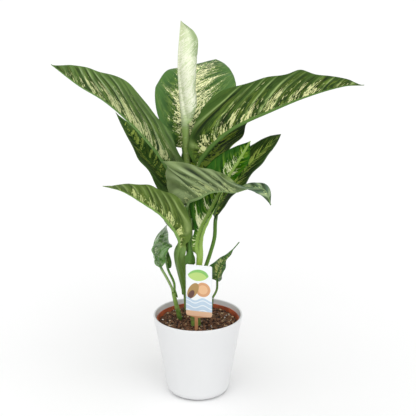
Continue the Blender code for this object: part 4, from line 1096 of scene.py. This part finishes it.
def soil_height(x, y):
    """The height of the soil's surface at a place."""
    share = math.hypot(x, y) / SOIL_RADIUS
    height = SOIL_LEVEL + SOIL_CROWN * (1 - share**2)
    height += SOIL_LUMP * (math.sin(x * 0.31 + y * 0.17) + math.sin(y * 0.37 - x * 0.11) * 0.8)
    height += SOIL_ROUGHNESS * noise.fractal(Vector((x * 0.16, y * 0.16, 3.0)), 0.8, 2.1, 4)
    return height


def make_soil():
    """The soil's crumbly surface, with a skirt down inside the grower's pot."""
    rings, sides = 70, 190
    points = [(0.0, 0.0, soil_height(0.0, 0.0))]
    for ring in range(1, rings + 1):
        radius = SOIL_RADIUS * (ring / rings) ** 0.85
        for side in range(sides):
            angle = math.tau * side / sides
            x, y = radius * math.cos(angle), radius * math.sin(angle)
            points.append((x, y, soil_height(x, y)))
    skirt_radius = SOIL_RADIUS * 0.97
    for side in range(sides):
        angle = math.tau * side / sides
        points.append((skirt_radius * math.cos(angle), skirt_radius * math.sin(angle), SOIL_SKIRT))
    faces = [(0, 1 + side, 1 + (side + 1) % sides) for side in range(sides)]
    for ring in range(rings):
        first, second = 1 + ring * sides, 1 + (ring + 1) * sides
        for side in range(sides):
            after = (side + 1) % sides
            faces.append((first + side, second + side, second + after, first + after))
    faces.append(tuple(range(1 + rings * sides, 1 + (rings + 1) * sides)))
    skin = earth("soil_skin", (34, 20, 12), (106, 76, 50), 190.0)
    new_piece("soil_surface", mesh_of("soil_surface", points, faces), skin, ["soil"])


def make_crumbs(name, count, sizes, flatness, skin, draws):
    """Loose crumbs scattered over the soil as one piece."""
    shape = bmesh.new()
    bmesh.ops.create_icosphere(shape, subdivisions=2, radius=1.0)
    ball = [vert.co.copy() for vert in shape.verts]
    triangles = [tuple(vert.index for vert in face.verts) for face in shape.faces]
    shape.free()
    points, faces = [], []
    for _ in range(count):
        radius = (SOIL_RADIUS - CRUMB_MARGIN) * math.sqrt(draws.random())
        angle = draws.random() * math.tau
        x, y = radius * math.cos(angle), radius * math.sin(angle)
        size = draws.uniform(*sizes)
        shape_size = Vector((size * draws.uniform(0.7, 1.5), size, size * flatness * draws.uniform(0.7, 1.3)))
        tilt = Euler((draws.uniform(-0.5, 0.5), draws.uniform(-0.5, 0.5), draws.random() * math.tau))
        seed = Vector((draws.random() * 50, draws.random() * 50, draws.random() * 50))
        middle = Vector((x, y, soil_height(x, y) + shape_size.z * 0.35))
        start = len(points)
        for corner in ball:
            rough = 1 + CRUMB_ROUGHNESS * noise.noise(corner * 1.3 + seed)
            bent = Vector((corner.x * shape_size.x, corner.y * shape_size.y, corner.z * shape_size.z)) * rough
            bent.rotate(tilt)
            points.append(tuple(middle + bent))
        faces.extend(tuple(start + index for index in triangle) for triangle in triangles)
    new_piece(name, mesh_of(name, points, faces), skin)


def turned(outline, sides):
    """Points and faces of an outline of (radius, height) turned about Z, with both ends on the axis."""
    points = [(0.0, 0.0, outline[0][1])]
    for radius, height in outline[1:-1]:
        for side in range(sides):
            angle = math.tau * side / sides
            points.append((radius * math.cos(angle), radius * math.sin(angle), height))
    points.append((0.0, 0.0, outline[-1][1]))
    faces = []
    last = len(points) - 1
    rings = len(outline) - 2
    for side in range(sides):
        after = (side + 1) % sides
        faces.append((0, 1 + after, 1 + side))
        faces.append((last, 1 + (rings - 1) * sides + side, 1 + (rings - 1) * sides + after))
        for ring in range(rings - 1):
            first, second = 1 + ring * sides, 1 + (ring + 1) * sides
            faces.append((first + side, first + after, second + after, second + side))
    return points, faces


def arc(centre_radius, centre_height, radius, start, end, steps):
    """Points of a round stretch of a turned outline, with its angles in degrees from level."""
    angles = [math.radians(start + (end - start) * step / steps) for step in range(steps + 1)]
    return [(centre_radius + radius * math.cos(a), centre_height + radius * math.sin(a)) for a in angles]


def pot_radius(height):
    """The cover pot's outer radius at a height above its rounded foot."""
    share = (height - POT_FOOT_ROUNDING) / (POT_HEIGHT - POT_FOOT_ROUNDING)
    return POT_FOOT_RADIUS + (POT_RIM_RADIUS - POT_FOOT_RADIUS) * share**1.05


def make_cover_pot():
    """The smooth white pot with a rounded foot and lip."""
    foot = arc(POT_FOOT_RADIUS - POT_FOOT_ROUNDING, POT_FOOT_ROUNDING, POT_FOOT_ROUNDING, -90, 0, 18)
    top = POT_HEIGHT - POT_WALL / 2
    heights = [POT_FOOT_ROUNDING + (top - POT_FOOT_ROUNDING) * step / 14 for step in range(1, 14)]
    outside = [(pot_radius(height), height) for height in heights]
    lip = arc(POT_RIM_RADIUS - POT_WALL / 2, top, POT_WALL / 2, 0, 180, 12)
    inside = [(radius - POT_WALL, height) for radius, height in reversed(outside)]
    inner_rounding = POT_FOOT_ROUNDING - POT_FLOOR
    corner = arc(POT_FOOT_RADIUS - POT_WALL - inner_rounding, POT_FOOT_ROUNDING, inner_rounding, 0, -90, 10)
    outline = [(0, 0), *foot, *outside, *lip, *inside, *corner, (0, POT_FLOOR)]
    points, faces = turned(outline, POT_SIDES)
    mesh = mesh_of("cover_pot_glazed", points, faces)
    new_piece("cover_pot_glazed", mesh, glaze(), ["cover_pot"])


def make_tag():
    """The care tag: a rounded card on a spike, with its print's coordinates as an attribute."""
    turn = math.radians(-TAG_TURN)
    along_width = Vector((math.cos(turn), math.sin(turn), 0.0))
    front = Vector((math.sin(turn), -math.cos(turn), 0.0))
    foot = Vector((*TAG_FOOT, 0.0))
    left, right = -TAG_WIDTH / 2 - SPIKE_OFFSET, TAG_WIDTH / 2 - SPIKE_OFFSET
    middle = (left + right) / 2
    spike_length = TAG_BOTTOM - SPIKE_POINT
    heights = [SPIKE_POINT + spike_length * step / SPIKE_ROWS for step in range(SPIKE_ROWS)]
    heights += [TAG_BOTTOM + TAG_HEIGHT * step / TAG_ROWS for step in range(TAG_ROWS + 1)]
    points, places = [], []
    for layer in (1, -1):
        for height in heights:
            if height < TAG_BOTTOM:
                flare = max(0.0, height - TAG_BOTTOM + SPIKE_FLARE)
                half = SPIKE_WIDTH / 2 + flare
                half *= min(1.0, 0.08 + (height - SPIKE_POINT) / SPIKE_TAPER)
                low, high = -half, half
            else:
                inset = 0.0
                for near in (height - TAG_BOTTOM, TAG_BOTTOM + TAG_HEIGHT - height):
                    if near < TAG_CORNER:
                        inset = TAG_CORNER - math.sqrt(TAG_CORNER**2 - (TAG_CORNER - near) ** 2)
                low, high = left + inset, right - inset
            for column in range(TAG_COLUMNS + 1):
                x = low + (high - low) * column / TAG_COLUMNS
                bow = TAG_BOW * ((x - middle) / (TAG_WIDTH / 2)) ** 2
                place = foot + along_width * x + Vector((0, 0, height))
                place += front * (layer * TAG_THICKNESS * 0.35 - bow + 0.1)
                points.append(place)
                places.append((x - middle, height - TAG_BOTTOM, 1.0 if layer > 0 else 0.0))
    mesh = mesh_of("care_tag_printed", points, sheet_faces(len(heights), TAG_COLUMNS + 1))
    set_attribute(mesh, "card_place", places)
    new_piece("care_tag_printed", mesh, tag_print(), ["care_tag"])


def make_camera():
    """The camera at the photograph's place and angle."""
    camera = bpy.data.objects.new("camera", bpy.data.cameras.new("camera"))
    camera.data.lens = CAMERA_LENS
    camera.location = CAMERA_PLACE
    camera.rotation_euler = (math.radians(90 - CAMERA_PITCH), 0.0, 0.0)
    bpy.context.scene.collection.objects.link(camera)
    bpy.context.scene.camera = camera


def soft_sun(name, direction, strength, spread):
    """Even soft light from a direction, spread over an angle in degrees as by a large diffuser."""
    light = bpy.data.lights.new(name, "SUN")
    light.energy = strength
    light.angle = math.radians(spread)
    lamp = bpy.data.objects.new(name, light)
    lamp.rotation_euler = Vector(direction).to_track_quat("Z", "Y").to_euler()
    bpy.context.scene.collection.objects.link(lamp)


def make_studio():
    """The white floor and the soft light around it."""
    bpy.ops.mesh.primitive_grid_add(x_subdivisions=8, y_subdivisions=8, size=FLOOR_SIZE)
    floor = bpy.context.object
    floor.name = "floor"
    paint = Paint("floor_white", {"Roughness": 0.9})
    cloud = paint.noise(paint.place(), scale=3.0)
    white = paint.mix(cloud, (246, 246, 246), (248, 248, 248))
    floor.data.materials.append(paint.finish(white))
    world = bpy.data.worlds.new("studio")
    world.use_nodes = True
    background = world.node_tree.nodes["Background"]
    background.inputs["Color"].default_value = (1.0, 1.0, 1.0, 1.0)
    background.inputs["Strength"].default_value = SURROUNDING_LIGHT
    bpy.context.scene.world = world
    bpy.context.scene.view_settings.view_transform = "Standard"
    for sun in SUNS:
        soft_sun(*sun)


def main():
    """Dresses the plant and its pots and sets the studio round them."""
    make_camera()
    make_cover_pot()
    grower_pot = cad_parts["grower_pot"]
    plastic = terracotta_plastic()
    for material_slot in grower_pot.material_slots:
        material_slot.material = plastic
    make_soil()
    draws = random.Random(7)
    bark = earth("bark_brown", (42, 20, 12), (128, 88, 60), 200.0)
    chips = earth("chip_tan", (136, 102, 66), (210, 182, 144), 300.0)
    white = earth("grit_white", (206, 200, 190), (240, 238, 232), 240.0)
    make_crumbs("soil_crumbs", 520, (1.2, 3.0), 0.7, bark, draws)
    make_crumbs("soil_chips", 140, (0.8, 2.6), 0.5, chips, draws)
    make_crumbs("soil_grit", 70, (0.6, 1.3), 0.8, white, draws)
    skin = cane_skin()
    for cane in CANES:
        make_cane(cane, skin)
    for seed, leaf in enumerate(LEAVES):
        make_leaf(leaf, seed)
    make_tag()
    make_studio()


main()
